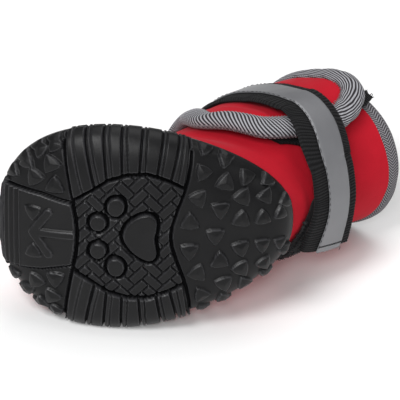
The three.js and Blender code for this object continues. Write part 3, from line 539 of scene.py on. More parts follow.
def underside(along, out):
    distance, direction = np.hypot(along, out), np.arctan2(out, along)
    reach = betweenRays(rayReach, direction)
    ring = np.clip((reach < distance[..., None]).sum(-1) - 1, 0, raySteps - 1)
    near = np.take_along_axis(reach, ring[..., None], -1)[..., 0]
    far = np.take_along_axis(reach, ring[..., None] + 1, -1)[..., 0]
    part = np.clip((distance - near) / np.maximum(far - near, 1e-9), 0, 1)
    turn = quarter * ((ring + part) / raySteps) ** rayCrowding
    angle = betweenRays(rayAngles, direction)
    return cupPoint(angle, turn), angle


tread = {
    "lug": 1.3, "edge": 0.16, "lip": 2.6, "lipFade": 1.3, "lipProud": 0.15, "lipShare": 0.45,
    "leafShare": 0.95, "ribGroove": 0.20, "ribLine": 0.11, "ribLineDeep": 0.5, "brick": 2.45,
    "brickHeight": 0.85, "brickGap": 0.2,
    "panelHeight": 0.9, "arrowHeight": 0.7, "arrowHalf": 1.0, "ring": 0.85, "ringDepth": -0.55,
    "grooveDepth": -0.6, "grooves": (0.42, 0.42, 0.5, 0.3), "bumper": 0.55, "ridge": 1.45,
    "leaf": 5.4, "leafHalf": 0.34, "leafBow": 0.42, "leafLow": 0.72, "leafRise": 0.5,
}
# each rib's groove: along at the panel, along at the rim, then how far on its shallow line lies at both
ribGrooves = [(-18.4, -20.6, 3.0, 1.5), (-12.7, -16.0, 1.1, 1.2), (-9.9, -11.2, 1.4, 1.3),
              (-6.2, -6.6, 1.5, 1.1),
              (-2.1, -1.2, 1.4, 1.1), (2.1, 4.2, 1.0, 1.1), (5.4, 8.4, 1.6, 1.0), (8.8, 10.6, 0.0, 0.0)]
panelLine = [(-24.0, 6.0), (-18.5, 9.0), (-13.9, 11.8), (-9.5, 14.8), (-4.9, 16.2), (0.0, 16.4),
             (4.7, 14.8), (8.8, 12.7), (13.0, 9.0)]
heelLine = [(10.9, 22.5), (10.4, 18.5), (9.7, 14.6), (8.8, 11.3), (7.2, 6.9), (5.9, 2.6), (5.6, 0.0)]
foreLine = [(-20.9, 25.0), (-20.2, 20.6), (-19.4, 15.7), (-18.4, 10.0), (-17.4, 5.0), (-17.0, 0.0)]
toePanel = [(-36.5, 11.4), (-30.7, 10.8), (-26.0, 10.2), (-20.9, 8.9), (-18.3, 8.4), (-17.5, 4.0),
            (-17.3, 0.0)]
beans = [(-7.7, -8.0, 2.1, 2.4, 0.2), (-12.0, -3.7, 2.0, 2.1, 0), (-12.0, 3.7, 2.0, 2.1, 0),
         (-7.7, 8.0, 2.1, 2.4, -0.2)]
pad = [(-0.6, -6.3), (1.1, -5.9), (2.3, -4.6), (2.2, -1.8), (1.6, 0.4), (2.1, 3.0), (2.3, 5.0), (1.3, 6.2),
       (-0.3, 6.3), (-2.8, 4.8), (-4.8, 2.8), (-6.1, 0.3), (-5.8, -1.8), (-4.7, -3.9), (-2.7, -5.5)]
arrow = [[(-17.6, 0), (-27.6, 0)], [(-24.0, 5.6), (-28.0, 0), (-24.0, -5.6)]]
arrowLeaf = (-27.9, 5.4, 150, 4.8)
# leaves: along, out (both sides), heading in degrees of the point, size share
heelLeaves = [(10.2, 3.8, 90, 1.0), (12.3, 10.0, -70, 1.0), (13.4, 16.4, 0, 0.9), (17.7, 6.9, -90, 1.0),
              (19.0, 13.5, -45, 1.0),
              (19.3, 18.9, 10, 0.8), (22.9, 3.8, 80, 1.0), (23.2, 9.6, -60, 1.0), (24.5, 14.4, 0, 0.9),
              (28.4, 3.6, 90, 0.9),
              (29.2, 9.1, -60, 0.9), (33.3, 4.0, 90, 0.8)]
toeLeaves = [(-27.7, 14.1, 0, 1.0), (-22.6, 12.5, 90, 1.0), (-23.6, 17.9, 0, 1.0), (-30.2, 17.6, -30, 0.9),
             (-26.8, 21.2, 20, 0.9), (-22.9, 22.7, 0, 0.9)]
middleLeaf = (16.5, 0, 90, 1.0)
rimLeafPlan = {"heel": (57, 45, 23, 11), "toe": (164, 157, 149, 141.5, 134), "inset": 3.0, "size": 0.9}


def rimLeaves():
    # one more row of leaves runs round the rim at the heel and the toe's corners
    rows = []
    for heading in rimLeafPlan["heel"] + rimLeafPlan["toe"]:
        turn = math.radians(heading)
        reach = float(rimReach(np.array([turn]))[0]) - rimLeafPlan["inset"]
        rows.append((reach * math.cos(turn), reach * math.sin(turn), heading + 180, rimLeafPlan["size"]))
    return rows


def step(distance, soft):
    # 1 inside an outline, 0 outside, with a drafted edge
    return ramp(soft, -soft, distance)


def turned(along, out, turn):
    c, s = math.cos(turn), math.sin(turn)
    return along * c + out * s, out * c - along * s


def ribLift(along, side, inner):
    outer = rimReach(np.arctan2(side, along)) * np.sin(np.arctan2(side, along))
    share = np.clip((side - inner) / np.maximum(outer - inner, 0.1), 0, 1)
    lift = np.full(along.shape, tread["lug"])
    for low, high, lineLow, lineHigh in ribGrooves:
        away = along - blend(low, high, share)
        if lineLow:
            shallow = np.abs(away - blend(lineLow, lineHigh, share)) - tread["ribLine"]
            lift = np.minimum(lift, tread["lug"] - tread["ribLineDeep"] * ramp(0.16, -0.06, shallow))
        lift = np.minimum(lift, tread["lug"] * ramp(-0.08, 0.22, np.abs(away) - tread["ribGroove"]))
    return lift * ramp(0.35, 0.75, side - inner)


def brickLift(along, out):
    # bricks laid in a herringbone at 45 degrees
    u = (along + out) / math.sqrt(2) / tread["brick"] + 40.15
    v = (out - along) / math.sqrt(2) / tread["brick"] + 40.4
    i, j = np.floor(u), np.floor(v)
    kind = np.mod(i - j, 4)
    lies = kind < 1.5
    x = np.where(lies, u - i + (kind > 0.5), u - i)
    y = np.where(lies, v - j, v - j + (kind < 2.5))
    edge = np.minimum(np.minimum(x, np.where(lies, 2, 1) - x), np.minimum(y, np.where(lies, 1, 2) - y))
    return tread["brickHeight"] * ramp(-0.08, 0.16, edge * tread["brick"] - tread["brickGap"])


def leafLift(along, out, x, y, heading, size):
    # three bowed sides: two run to the point and one lies across from it
    u, v = turned((along - x) / size, (out - y) / size, math.radians(heading))
    sides = []
    for spin in (0, fullTurn / 3, -fullTurn / 3):
        p, q = turned(u, v, spin)
        sides.append(tread["leafHalf"] + p - tread["leafBow"] * q * q)
    inner = np.minimum.reduce(sides) * size
    slope = tread["leafLow"] + tread["leafRise"] * np.clip(inner / (tread["leafHalf"] * size), 0, 1)
    return slope * ramp(-0.05, 0.2, inner)


def pawLift(lift, along, out):
    # each part of the paw stands in its own ring groove
    deep, ring, soft = tread["ringDepth"], tread["ring"], tread["edge"]
    for x, y, a, b, tilt in beans:
        p, q = turned(along - x, out - y, tilt)
        away = (np.hypot(p / a, q / b) - 1) * (a + b) / 2
        dome = tread["lug"] + 0.1 - 0.12 * np.maximum(0, away + 1.2)
        lift = blend(lift, deep, step(away - ring, soft))
        lift = np.maximum(lift, blend(deep, dome, step(away, 0.2)))
    away = outlineDistance(along, out, roundedLoop(pad))
    lift = blend(lift, deep, step(away - ring, soft))
    return np.maximum(lift, blend(deep, tread["lug"] - 0.25 * ramp(-0.7, 0.1, away), step(away, 0.2)))


def toePanelLift(along, out, panelAway):
    # the toe panel with its arrow and two leaves
    arrowAway = np.minimum(*[lineDistance(along, out, line) for line in arrow])
    lift = tread["panelHeight"] * step(panelAway + 0.2, tread["edge"])
    lift = lift + tread["arrowHeight"] * step(arrowAway - tread["arrowHalf"], tread["edge"])
    x, y, heading, size = arrowLeaf
    for mirror in (-1, 1):
        leaf = leafLift(along, out, x, y * mirror, heading * mirror, size)
        lift = np.maximum(lift, tread["panelHeight"] + leaf * 0.6)
    return lift


def leavesLift(along, out):
    lift = np.zeros_like(along)
    for x, y, heading, share in heelLeaves + toeLeaves + rimLeaves() + [middleLeaf]:
        for mirror in (-1, 1) if y else (1,):
            near = (np.abs(along - x) < 4) & (np.abs(out - mirror * y) < 4)
            leaf = leafLift(along[near], out[near], x, mirror * y, mirror * heading, tread["leaf"] * share)
            lift[near] = np.maximum(lift[near], leaf)
    return lift


def treadLift(along, out):
    side = np.abs(out)
    toRim = rimReach(np.arctan2(out, along)) - np.hypot(along, out)
    panelOut = readLine(panelLine, along)
    heelAlong, foreAlong = readLine(heelLine, side, 1), readLine(foreLine, side, 1)
    inHeel, inToe = along >= heelAlong, along <= foreAlong
    inMiddle = ~inHeel & ~inToe
    isRib = inMiddle & (side > panelOut)
    inPanel = inMiddle & (side < panelOut)
    lift = np.where(inPanel, brickLift(along, out), 0.0)
    lift = np.where(isRib, ribLift(along, side, panelOut), lift)
    lift = pawLift(lift, along, out)
    panelAway = outlineDistance(along, out, toePanel + [(x, -y) for x, y in toePanel[::-1][1:]])
    lift = np.where(panelAway < 0, toePanelLift(along, out, panelAway), lift)
    inLeaves = (inHeel | inToe) & (panelAway > 0.3)
    lift = np.where(inLeaves, np.maximum(lift, leavesLift(along, out)), lift)
    # bumper ridges across the front of the toe
    ridges = 0.5 + 0.5 * np.cos((along + 33.0) * fullTurn / tread["ridge"])
    bumper = ramp(-31.2, -31.8, along) * ramp(11.2, 10.4, side) * ramp(0.3, 1.2, toRim)
    lift = blend(lift, tread["bumper"] + 0.6 * ridges, bumper)
    # deep grooves between the fields
    far = 9
    grooves = (np.where(side < 22, np.abs(along - heelAlong), far),
               np.where(side < 24.5, np.abs(along - foreAlong), far),
               np.where((along > foreAlong) & (along < heelAlong), np.abs(side - panelOut), far),
               np.where(along < foreAlong, np.abs(panelAway), far))
    for away, half in zip(grooves, tread["grooves"]):
        lift = blend(lift, tread["grooveDepth"], step(away - half, tread["edge"]) * ramp(0.8, 2.2, toRim))
    # lip: everything runs out into a smooth band along the rim, with a tick for each rib
    band = ramp(tread["lip"], tread["lip"] - tread["lipFade"], toRim)
    keep = np.where(isRib, tread["lipShare"], tread["leafShare"])
    fade = np.where(inMiddle, ramp(0.1, 0.8, toRim), ramp(1.1, 2.3, toRim))
    lift = blend(lift, tread["lipProud"] + keep * np.clip(lift, 0, 1.9) * fade, band)
    return lift * ramp(0.0, 0.7, toRim) ** 0.5


soleGrid = {"along": 352, "across": 264}
# rim, inner wall and inner floor: turn up the cup, inset, floor and how far it is raised
cupSections = [(90, 0.25, 0.0, 0.35), (90, 1.0, 0.0, 0.5), (90, 1.75, 0.0, 0.35), (89, 2.0, 3.0, 0.0)]
cupSections += [(turn, 2.0, 3.0, 0.0) for turn in (78, 66, 54, 42, 30, 16, 4)]


def makeOutsole():
    rows, columns = soleGrid["along"], soleGrid["across"]
    a, b = np.meshgrid(np.linspace(-1, 1, rows), np.linspace(-1, 1, columns), indexing="ij")
    p, q = a * np.sqrt(1 - b * b / 2), b * np.sqrt(1 - a * a / 2)  # a square sheet fitted to a disc
    direction = np.arctan2(q, p)
    reach = rimReach(direction) * np.hypot(p, q)
    along, out = reach * np.cos(direction), reach * np.sin(direction)
    place, angle = underside(along, out)
    normal = unit(np.cross(np.gradient(place, axis=1), np.gradient(place, axis=0)))
    normal *= np.sign(-normal[..., 2].mean())
    lift = treadLift(along, out)
    around = np.pad(lift, 1, mode="edge")
    bend = around[:-2, 1:-1] + around[2:, 1:-1] + around[1:-1, :-2] + around[1:-1, 2:] - 4 * lift
    points = [(place + normal * lift[..., None]).reshape(-1, 3)]
    # how raised each point stands; the rubber paints shade into the grooves from this
    raised = [ramp(-0.55, 0.15, lift).ravel()]
    edges = [ramp(0.10, 0.55, -bend).ravel()]  # corners that stand proud: the rubber paints a highlight on them and gives them more specular
    faces = gridFaces(rows, columns)
    last = loop = gridRim(rows, columns)
    count = rows * columns
    for turn, inset, floorAt, proud in cupSections:
        ring = cupPoint(angle.ravel()[loop], math.radians(turn), inset, floorAt)
        ring[:, 2] += proud
        points.append(ring)
        # the rim and walls get a little of the painted groove shade
        raised.append(np.full(len(loop), 0.8))
        edges.append(np.zeros(len(loop)))
        now = np.arange(count, count + len(loop))
        faces += np.stack([last, np.roll(last, -1), np.roll(now, -1), now], -1).tolist()
        last = now
        count += len(loop)
    faces.append(last.tolist())
    marks = {"raised": np.concatenate(raised), "edge": np.concatenate(edges)}
    piece = makeMesh("outsole_moulded", np.concatenate(points), faces, rubber, marks=marks)
    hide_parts("outsole")


makeOutsole()
print("sole ready")

# Upper: one skin from the hem in the cup to the collar

upperSizes = {
    "wall": 2.5, "shaftWidth": 36.8, "collarFront": (70.0, 72.5), "collarBack": (102.0, 44.5),
    "sideLean": 1.9, "hemTurn": 62.0,
}
# front, frontUp, back, backUp, narrowing, egg, lean for rings 2 to 8
upperRings = np.array([
    (0.043, 0.067, 0.033, 0.118, 0.27, 0.20, 0.05),
    (0.186, 0.225, 0.167, 0.265, 1.25, -0.14, 0.62),
    (0.386, 0.375, 0.283, 0.397, 1.18, -0.18, 0.68),
    (0.557, 0.550, 0.417, 0.544, 1.07, -0.15, 0.68),
    (0.714, 0.717, 0.567, 0.691, 1.0, -0.12, 0.72),
    (0.857, 0.875, 0.750, 0.824, 1.0, -0.11, 0.85),
    (1.0, 1.0, 1.0, 1.0, 1.0, -0.11, 1.0),
])
collarRow = 8
wallEndRow = collarRow - 0.55


def ringPoint(row, angle):
    inset, floorAt = soleSizes["rimWall"] + gap, soleSizes["thickness"]
    hem = cupPoint(angle, math.radians(upperSizes["hemTurn"]), inset, floorAt)
    hem[..., 2] += gap
    rim = cupPoint(angle, quarter, inset, floorAt)
    picked = upperRings[np.clip(row - 2, 0, len(upperRings) - 1)]
    front, frontUp, back, backUp, narrowing, egg, lean = np.moveaxis(picked, -1, 0)
    frontX = upperSizes["collarFront"][0] * front
    frontZ = blend(toeRise, upperSizes["collarFront"][1], frontUp)
    backX = blend(soleSizes["length"], upperSizes["collarBack"][0], back)
    backZ = blend(heelRise, upperSizes["collarBack"][1], backUp)
    half = blend(halfWidth - inset, upperSizes["shaftWidth"] / 2, narrowing)
    c = np.cos(angle)
    ring = np.stack([blend(backX, frontX, (1 + c) / 2),
                     lean * upperSizes["sideLean"] - half * np.sin(angle) * (1 + egg * c),
                     blend(backZ, frontZ, (1 + c) / 2)], -1)
    pick = row[..., None]
    return np.where(pick == 0, hem, np.where(pick == 1, rim, ring))


def skinPoint(row, angle):
    row, angle = np.broadcast_arrays(np.asarray(row, float), np.asarray(angle, float))
    place = np.clip(row, 0, collarRow + 0.5)
    low = np.minimum(np.floor(place).astype(int), collarRow - 1)
    t = (place - low)[..., None]
    a, b = ringPoint(np.maximum(low - 1, 0), angle), ringPoint(low, angle)
    c, d = ringPoint(low + 1, angle), ringPoint(np.minimum(low + 2, collarRow), angle)
    return 0.5 * (2 * b + (c - a) * t + (2 * a - 5 * b + 4 * c - d) * t ** 2
                  + (3 * b - a - 3 * c + d) * t ** 3)


def skinWays(row, angle):
    tiny = 0.01
    up = (skinPoint(row + tiny, angle) - skinPoint(row - tiny, angle)) / (2 * tiny)
    around = (skinPoint(row, angle + tiny) - skinPoint(row, angle - tiny)) / (2 * tiny)
    return up, around


def skinNormal(row, angle):
    up, around = skinWays(row, angle)
    return unit(np.cross(around, up))


def upperPoint(row, angle, lift):
    return skinPoint(row, angle) + skinNormal(row, angle) * np.asarray(lift)[..., None]


throat = {"right": -25.0, "bottom": [(0.0, 6.0), (0.3, 6.1), (0.6, 5.5), (0.85, 4.7), (1.0, 4.5)],
          "left": [(4, 88), (5, 101), (6, 107), (7, 106), (8, 104), (9, 104)]}
softness = {"waves": 7, "upper": (0.35, 16, 5), "flap": (0.28, 15, 11),
            "collar": (0.12, 7, 3), "pile": (1.5, 9)}


def softWaves(points, size, seed):
    # a smooth seeded wobble, a few waves deep
    source = np.random.default_rng(seed)
    total = np.zeros(points.shape[:-1])
    for _ in range(softness["waves"]):
        way = unit(source.normal(size=3))
        total += np.sin(points @ way * fullTurn / (size * source.uniform(0.7, 1.6)) + source.uniform(0, 6.28))
    return total / softness["waves"]


def makeUpper():
    rows = np.concatenate([np.linspace(0, 1, 8)[:-1], np.linspace(1, 3, 44)[:-1],
                           np.linspace(3, wallEndRow + 0.2, 96)])
    r, a = np.meshgrid(rows, circle(280), indexing="ij")
    base = skinPoint(r, a)
    deep, *waves = softness["upper"]
    lift = deep * softWaves(base, *waves) * ramp(1.1, 2.2, r)
    # the jersey wrinkles where the shaft leans back over the heel
    crease = np.exp(-((np.degrees(a) - 180) / 46) ** 2) * np.exp(-((r - 3.1) / 0.55) ** 2)
    lift -= 0.12 * crease * (0.5 + 0.5 * np.sin(r * 9))
    outer = upperPoint(r, a, lift)
    inner = upperPoint(r, a, np.full_like(r, -upperSizes["wall"]))
    share = (np.degrees(a) + 180) % 360 - 180
    over = (share - throat["right"]) / (readTable(throat["left"], r) - throat["right"])
    isOpen = (over > 0) & (over < 1) & (r > readTable(throat["bottom"], np.clip(over, 0, 1)))
    opened = np.roll(isOpen, -1, 1)
    index = np.arange(r.size).reshape(r.shape)
    ahead = np.roll(index, -1, 1)
    kept = ~(isOpen[:-1] & isOpen[1:] & opened[:-1] & opened[1:])
    quads = np.stack([index[:-1], ahead[:-1], ahead[1:], index[1:]], -1)[kept]
    shift = r.size
    faces = quads.tolist() + (quads[:, ::-1] + shift).tolist()
    # close the cut edges
    used = dict.fromkeys((int(p), int(q)) for quad in quads for p, q in zip(quad, np.roll(quad, -1)))
    faces += [[q, p, p + shift, q + shift] for p, q in used if (q, p) not in used]
    points = np.concatenate([outer.reshape(-1, 3), inner.reshape(-1, 3)])
    piece = makeMesh("upper_neoprene", points, faces, neoprene)
    piece.data.materials.append(lining)
    isInner = np.array([min(face) >= shift for face in faces])
    piece.data.polygons.foreach_set("material_index", isInner.astype(int))
    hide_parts("upper")


makeUpper()
print("upper ready")

insoleSizes = {"thickness": 2.0, "flat": (2, 20, 6), "dished": (24, 42, 8)}  # degrees up the cup, and count


def makeInsole():
    turns = np.radians(np.concatenate([np.linspace(*insoleSizes[part]) for part in ("flat", "dished")]))
    t, a = np.meshgrid(turns, circle(120), indexing="ij")
    low = cupPoint(a, t, soleSizes["rimWall"] + gap, soleSizes["thickness"])
    low[..., 2] += gap
    high = low + (0, 0, insoleSizes["thickness"])
    high[:insoleSizes["flat"][2], :, 2] = soleSizes["thickness"] + gap + insoleSizes["thickness"]
    points = np.concatenate([low.reshape(-1, 3), high.reshape(-1, 3)])
    n, m = t.shape
    shift = n * m
    faces = gridFaces(n, m, 0, True) + gridFaces(n, m, shift, True, True)
    faces += [list(range(m)), list(range(shift, shift + m))[::-1]]
    edge = np.arange(shift - m, shift)
    ahead = np.roll(edge, -1)
    faces += np.stack([edge, ahead, ahead + shift, edge + shift], -1).tolist()
    piece = makeMesh("insole_felt", points, faces, sockFelt)
    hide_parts("insole")


makeInsole()

# Flap, its rolled binding and the collar's binding

flapSizes = {
    "thickness": 2.0, "seamAngle": -44.0, "edgePull": 3, "liftFrom": 42.0, "liftTo": 16.0,
    "stripThickness": 0.8, "rollWidth": 6.6, "rollThickness": 3.7, "cornerUp": 0.12, "cornerOver": 0.1,
    "bindingThickness": 4.3, "bindingProud": 0.45, "solidTopRow": 7.5,
}
flapFoot = [(0.0, 5.05), (0.25, 5.4), (0.4, 5.46), (0.54, 5.4), (0.64, 5.26), (0.74, 4.98), (0.82, 4.62),
            (0.91, 4.2), (1.0, 3.8)]
flapEdge = [(0.0, 3.8, 90), (0.1, 3.8, 96), (0.2, 3.74, 106), (0.3, 3.76, 116), (0.4, 4.0, 121.5),
            (0.5, 4.4, 125.5),
            (0.6, 4.9, 129), (0.7, 5.45, 130.5), (0.8, 6.1, 131.2), (0.9, 6.85, 127), (1.0, 7.5, 121)]
flapTop = [(0.0, 7.85), (0.45, 7.85), (0.75, 7.7), (1.0, 7.5)]
hookPath = [(3.6, 119), (4.0, 121.5), (4.4, 125.5), (4.9, 129), (5.45, 130.5), (6.1, 131.2), (6.85, 127),
            (8.2, 116)]


def collarStep(row):
    return flapSizes["bindingProud"] * ramp(wallEndRow - 1, wallEndRow - 0.05, row)


def flapPlace(up, over):
    straight = blend(flapEdge[0][1], flapSizes["solidTopRow"], up)
    pull = over ** flapSizes["edgePull"] * (readTable(flapEdge, up) - straight)
    row = blend(readTable(flapFoot, over), readTable(flapTop, over), up) + pull
    return row, blend(flapSizes["seamAngle"], readTable(flapEdge, up, 2), over)


def flapLift(row, angle):
    strip = flapSizes["stripThickness"] + 1.5 * gap
    edge = readTable(hookPath, row)
    onStrip = ramp(edge - flapSizes["liftFrom"], edge - flapSizes["liftTo"], angle)
    return gap + collarStep(row) + strip * onStrip * ramp(3.1, 3.5, row)


def flapPoint(up, over, height):
    row, angle = flapPlace(up, over)
    return upperPoint(row, np.radians(angle), flapLift(row, angle) + height)


def flapReach(up):
    short = np.maximum(0, 1 - np.minimum(up, 1 - up) / flapSizes["cornerUp"])
    return 1 - flapSizes["cornerOver"] * (1 - np.sqrt(1 - short * short))


strapSizes = {
    "width": 15.0, "thickness": 1.2, "rib": 0.07, "tapeWidth": 7.6, "tapeShift": 0.6, "tapeLow": 1.25,
    "tapeTop": 1.7, "patch": 1.3, "press": 0.25, "pressRows": 0.82, "slant": 0.036,
}
# angle, row, what it crosses, height above that, and how far its collar side rises over its width
strapRoute = [
    (-75, 5.9, "upper", 0.0, 0.0), (-58, 6.1, "upper", 1.0, 0.0), (-40, 6.4, "flap", 0.1, 0.0),
    (0, 6.52, "flap", 0.3, 0.0),
    (40, 6.3, "flap", 0.1, 0.0), (65, 6.08, "flap", 0.0, 0.0), (80, 5.9, "flap", 0.1, 0.0),
    (90, 5.76, "flap", 0.5, 0.0),
    (100, 5.57, "flap", 1.3, 0.0), (109, 5.4, "flap", 2.3, 0.0), (118, 5.26, "roll", 0.0, 0.0),
    (130, 4.98, "roll", 0.0, 0.0),
    (141, 4.58, "roll", -0.1, 0.0), (151, 4.27, "patch", 2.8, 0.06), (159, 4.17, "patch", 2.0, 0.1),
    (168, 4.1, "patch", 1.3, 0.13),
    (177, 4.05, "patch", 1.1, 0.15), (186, 3.97, "patch", 1.3, 0.18), (194, 3.93, "patch", 1.6, 0.22),
    (201, 3.93, "patch", 2.2, 0.27),
    (211, 3.95, "patch", 3.3, 0.3),
]
strapPath = [(angle, row) for angle, row, *_ in strapRoute]


def makeFlap():
    u, o = np.meshgrid(np.linspace(0.012, 0.988, 110), np.linspace(0.0, 1.0, 170), indexing="ij")
    over = blend(0.012, flapReach(u) - 0.02, o)
    edge = np.minimum(np.minimum(u, 1 - u) * 3.2, 1 - o) * 2.2
    puff = 0.55 * (1 - np.exp(-edge * 5)) - 0.35
    row, angle = flapPlace(u, over)
    away = np.abs(row - readLine(strapPath, angle)) / strapSizes["pressRows"]
    puff -= (strapSizes["press"] + 0.1) * ramp(1.2, 0.95, away) * ramp(130, 110, angle)
    outer = flapPoint(u, over, flapSizes["thickness"] + puff)
    deep, *waves = softness["flap"]
    outer += skinNormal(row, np.radians(angle)) * (deep * softWaves(outer, *waves))[..., None]
    points, faces = closedSheet(outer, flapPoint(u, over, np.zeros_like(u)))
    piece = makeMesh("flap_neoprene", points, faces, neoprene)
    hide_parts("flap")


makeFlap()


def rollCentre(up, over):
    return flapPoint(up, over, np.full(len(up), flapSizes["rollThickness"] / 2 - gap / 2))


def rollPath(count):
    # round the flap's free edges, from the lower seam to the upper one
    u, o = flapSizes["cornerUp"], flapSizes["cornerOver"]
    c, s = 1 - np.cos(np.linspace(0, quarter, 40)), 1 - np.sin(np.linspace(0, quarter, 40))
    stretch = np.linspace(0, 1, 80)
    parts = [(0 * stretch, stretch * (1 - o)), (u * c, 1 - o * s),
             (u + stretch * (1 - 2 * u), 0 * stretch + 1),
             (1 - u * s, 1 - o * c), (0 * stretch + 1, (1 - stretch) * (1 - o))]
    path = np.concatenate([np.stack(part, 1)[min(k, 1):] for k, part in enumerate(parts)])
    length = lengthAlong(rollCentre(path[:, 0], path[:, 1]))
    at = np.linspace(0, length[-1], count)
    return np.interp(at, length, path[:, 0]), np.interp(at, length, path[:, 1]), at


rollSizes = {"count": 1500, "section": 30, "girth": 17.0, "cord": 0.10, "squareness": 0.85}


def makeRoll():
    count, section = rollSizes["count"], rollSizes["section"]
    up, over, at = rollPath(count)
    row, angle = flapPlace(up, over)
    centre = rollCentre(up, over)
    for _ in range(3):  # ease the corners
        centre[1:-1] = centre[1:-1] * 0.5 + (centre[:-2] + centre[2:]) * 0.25
    along = unit(np.gradient(centre, axis=0))
    side = unit(np.cross(along, skinNormal(row, np.radians(angle))))
    out = unit(np.cross(side, along))
    around = circle(section)
    girth = around / fullTurn * rollSizes["girth"]
    corner = ramp(0.5, 0.85, up) * ramp(0.3, 0.7, over)  # gathered there, so its stripes run along it
    onward = np.concatenate([[0], np.cumsum(np.diff(at) * blend(1.0, 0.2, corner[1:]))])
    place = onward[:, None] + blend(stripes["slant"], 1.5, corner)[:, None] * girth[None, :]
    cords = rollSizes["cord"] * np.sin(place * fullTurn / stripes["pitch"])
    ends = blend(0.7, 1, ramp(0, 1.5, at) * ramp(0, 1.5, at[-1] - at))[:, None]
    x, y = (np.sign(turn) * np.abs(turn) ** rollSizes["squareness"]
            for turn in (np.cos(around), np.sin(around)))
    sideways = x * ((flapSizes["rollWidth"] / 2 - 0.1) * ends + cords)
    outwards = y * ((flapSizes["rollThickness"] / 2 - 0.05) * ends + cords)
    rings = centre[:, None] + side[:, None] * sideways[..., None] + out[:, None] * outwards[..., None]
    piece = makeMesh("binding_rolled", rings.reshape(-1, 3), tubeFaces(count, section), striped,
                     uvGrid(place, girth))
    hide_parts("flap_binding")


makeRoll()
collarSizes = {"count": 620, "section": 26, "girth": 15.0}


def makeCollarBinding():
    count, section = collarSizes["count"], collarSizes["section"]
    angle = np.radians(np.linspace(readTable(throat["left"], collarRow), 360 + throat["right"], count))
    turn = circle(section)
    c, s = np.cos(turn), np.sin(turn)
    up = 0.5 + 0.5 * np.sign(c) * np.abs(c) ** 0.8
    outward = 0.5 * np.sign(s) * np.abs(s) ** 0.7
    row = blend(wallEndRow + 0.03, collarRow + 0.02, up)
    lift = flapSizes["bindingProud"] + flapSizes["bindingThickness"] * (outward - 0.5)
    a, row, lift = np.broadcast_arrays(angle[:, None], row, lift)
    rings = upperPoint(row, a, lift)
    deep, *waves = softness["collar"]
    rings += skinNormal(row, a) * (deep * softWaves(rings, *waves) * np.sign(outward))[..., None]
    uv = uvGrid(lengthAlong(rings.mean(1))[:, None], turn / fullTurn * collarSizes["girth"])
    piece = makeMesh("binding_collar", rings.reshape(-1, 3), tubeFaces(count, section), twill,
                     uv)
    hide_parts("collar_binding")


makeCollarBinding()
print("flap and bindings ready")

# Strap, tape, hook strip and loop patch

layerTop = {
    "upper": gap, "flap": 2 * gap + flapSizes["thickness"] - strapSizes["press"],
    "roll": 3.5 * gap + flapSizes["stripThickness"] + flapSizes["rollThickness"],
    "patch": 2 * gap + strapSizes["patch"],
}
strapTable = [(angle, row, layerTop[over] + above, tip) for angle, row, over, above, tip in strapRoute]


def strapPoint(place, across, height):
    # place is a share of the strap's run, across and height are in millimetres
    first, last, tiny = strapTable[0][0], strapTable[-1][0], 0.004
    angle = blend(first, last, place)
    row, lift, tip = (readTable(strapTable, angle, column) for column in (1, 2, 3))
    ends = [blend(first, last, np.clip(place + d, 0, 1)) for d in (-tiny, tiny)]
    back, ahead = (skinPoint(readTable(strapTable, end), np.radians(end)) for end in ends)
    radians = np.radians(angle)
    side = unit(np.cross(skinNormal(row, radians), unit(ahead - back)))
    row, radians = row + 0 * across, radians + 0 * across
    for _ in range(3):
        up, around = skinWays(row, radians)
        target = side * (across / 3)[..., None]
        uu, ua, aa = (up * up).sum(-1), (up * around).sum(-1), (around * around).sum(-1)
        tu, ta = (target * up).sum(-1), (target * around).sum(-1)
        det = uu * aa - ua * ua
        row, radians = row + (tu * aa - ta * ua) / det, radians + (ta * uu - tu * ua) / det
    return upperPoint(row, radians, lift + height + tip * across)


def strapLine(count):
    # shares of the strap's run and the lengths along its middle there
    place = np.linspace(0, 1, count)
    return place, lengthAlong(strapPoint(place, np.zeros(count), np.zeros(count)))


def strapSheet(name, width, shift, low, high, finish, columns, node, edgeRound, ribs=0.0):
    rows = 420
    place, share = np.meshgrid(np.linspace(0, 1, rows), np.linspace(-0.5, 0.5, columns), indexing="ij")
    place = place - strapSizes["slant"] * (share * width / strapSizes["width"] + 0.5) * ramp(0.8, 1.0, place)
    outerEdge = 1 - ramp(0.5 - edgeRound / width, 0.5, np.abs(share))
    half = (low + high) / 2
    centre = strapPoint(place[:, columns // 2], np.zeros(rows), np.zeros(rows))
    at = lengthAlong(centre)[:, None]
    rib = ribs * np.sin(at * fullTurn / webbingRib)
    across = shift + share * width + np.sign(share) * np.abs(rib) * (np.abs(share) > 0.49)
    top = strapPoint(place, across, blend(half, high, outerEdge) + rib * outerEdge)
    points, faces = closedSheet(top, strapPoint(place, across, blend(half, low, outerEdge)))
    uv = uvGrid(at, share * width)
    piece = makeMesh(name, points, faces, finish, np.concatenate([uv, uv]))
    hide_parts(node)


strapSheet("strap_webbing", strapSizes["width"], 0.0, 0.0, strapSizes["thickness"], webbing,
           34, "strap", 0.5, strapSizes["rib"])
strapSheet("tape_reflective", strapSizes["tapeWidth"], strapSizes["tapeShift"], strapSizes["tapeLow"],
           strapSizes["tapeTop"], tape, 22, "reflective_tape", 0.2)


def upperSheet(name, rows, placeAt, low, high, finish, node, steps, rough=0.0):
    r, s = np.meshgrid(np.linspace(*rows, steps[0]), np.linspace(0, 1, steps[1]), indexing="ij")
    row, angle = placeAt(r, s)
    radians = np.radians(angle)
    pile = rough * softWaves(skinPoint(row, radians), *softness["pile"])
    outer = upperPoint(row, radians, high + collarStep(row) + pile)
    points, faces = closedSheet(outer, upperPoint(row, radians, low + collarStep(row)))
    uv = uvGrid(r * 9.0, s * 7.0)
    piece = makeMesh(name, points, faces, finish, np.concatenate([uv, uv]))
    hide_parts(node)


hookStrip = {"width": 7.0, "show": 1.4, "tuck": 3.3, "tuckRows": (5.6, 6.6), "foot": 1.6,
             "footRows": (4.6, 3.75), "rows": (3.75, 8.08)}


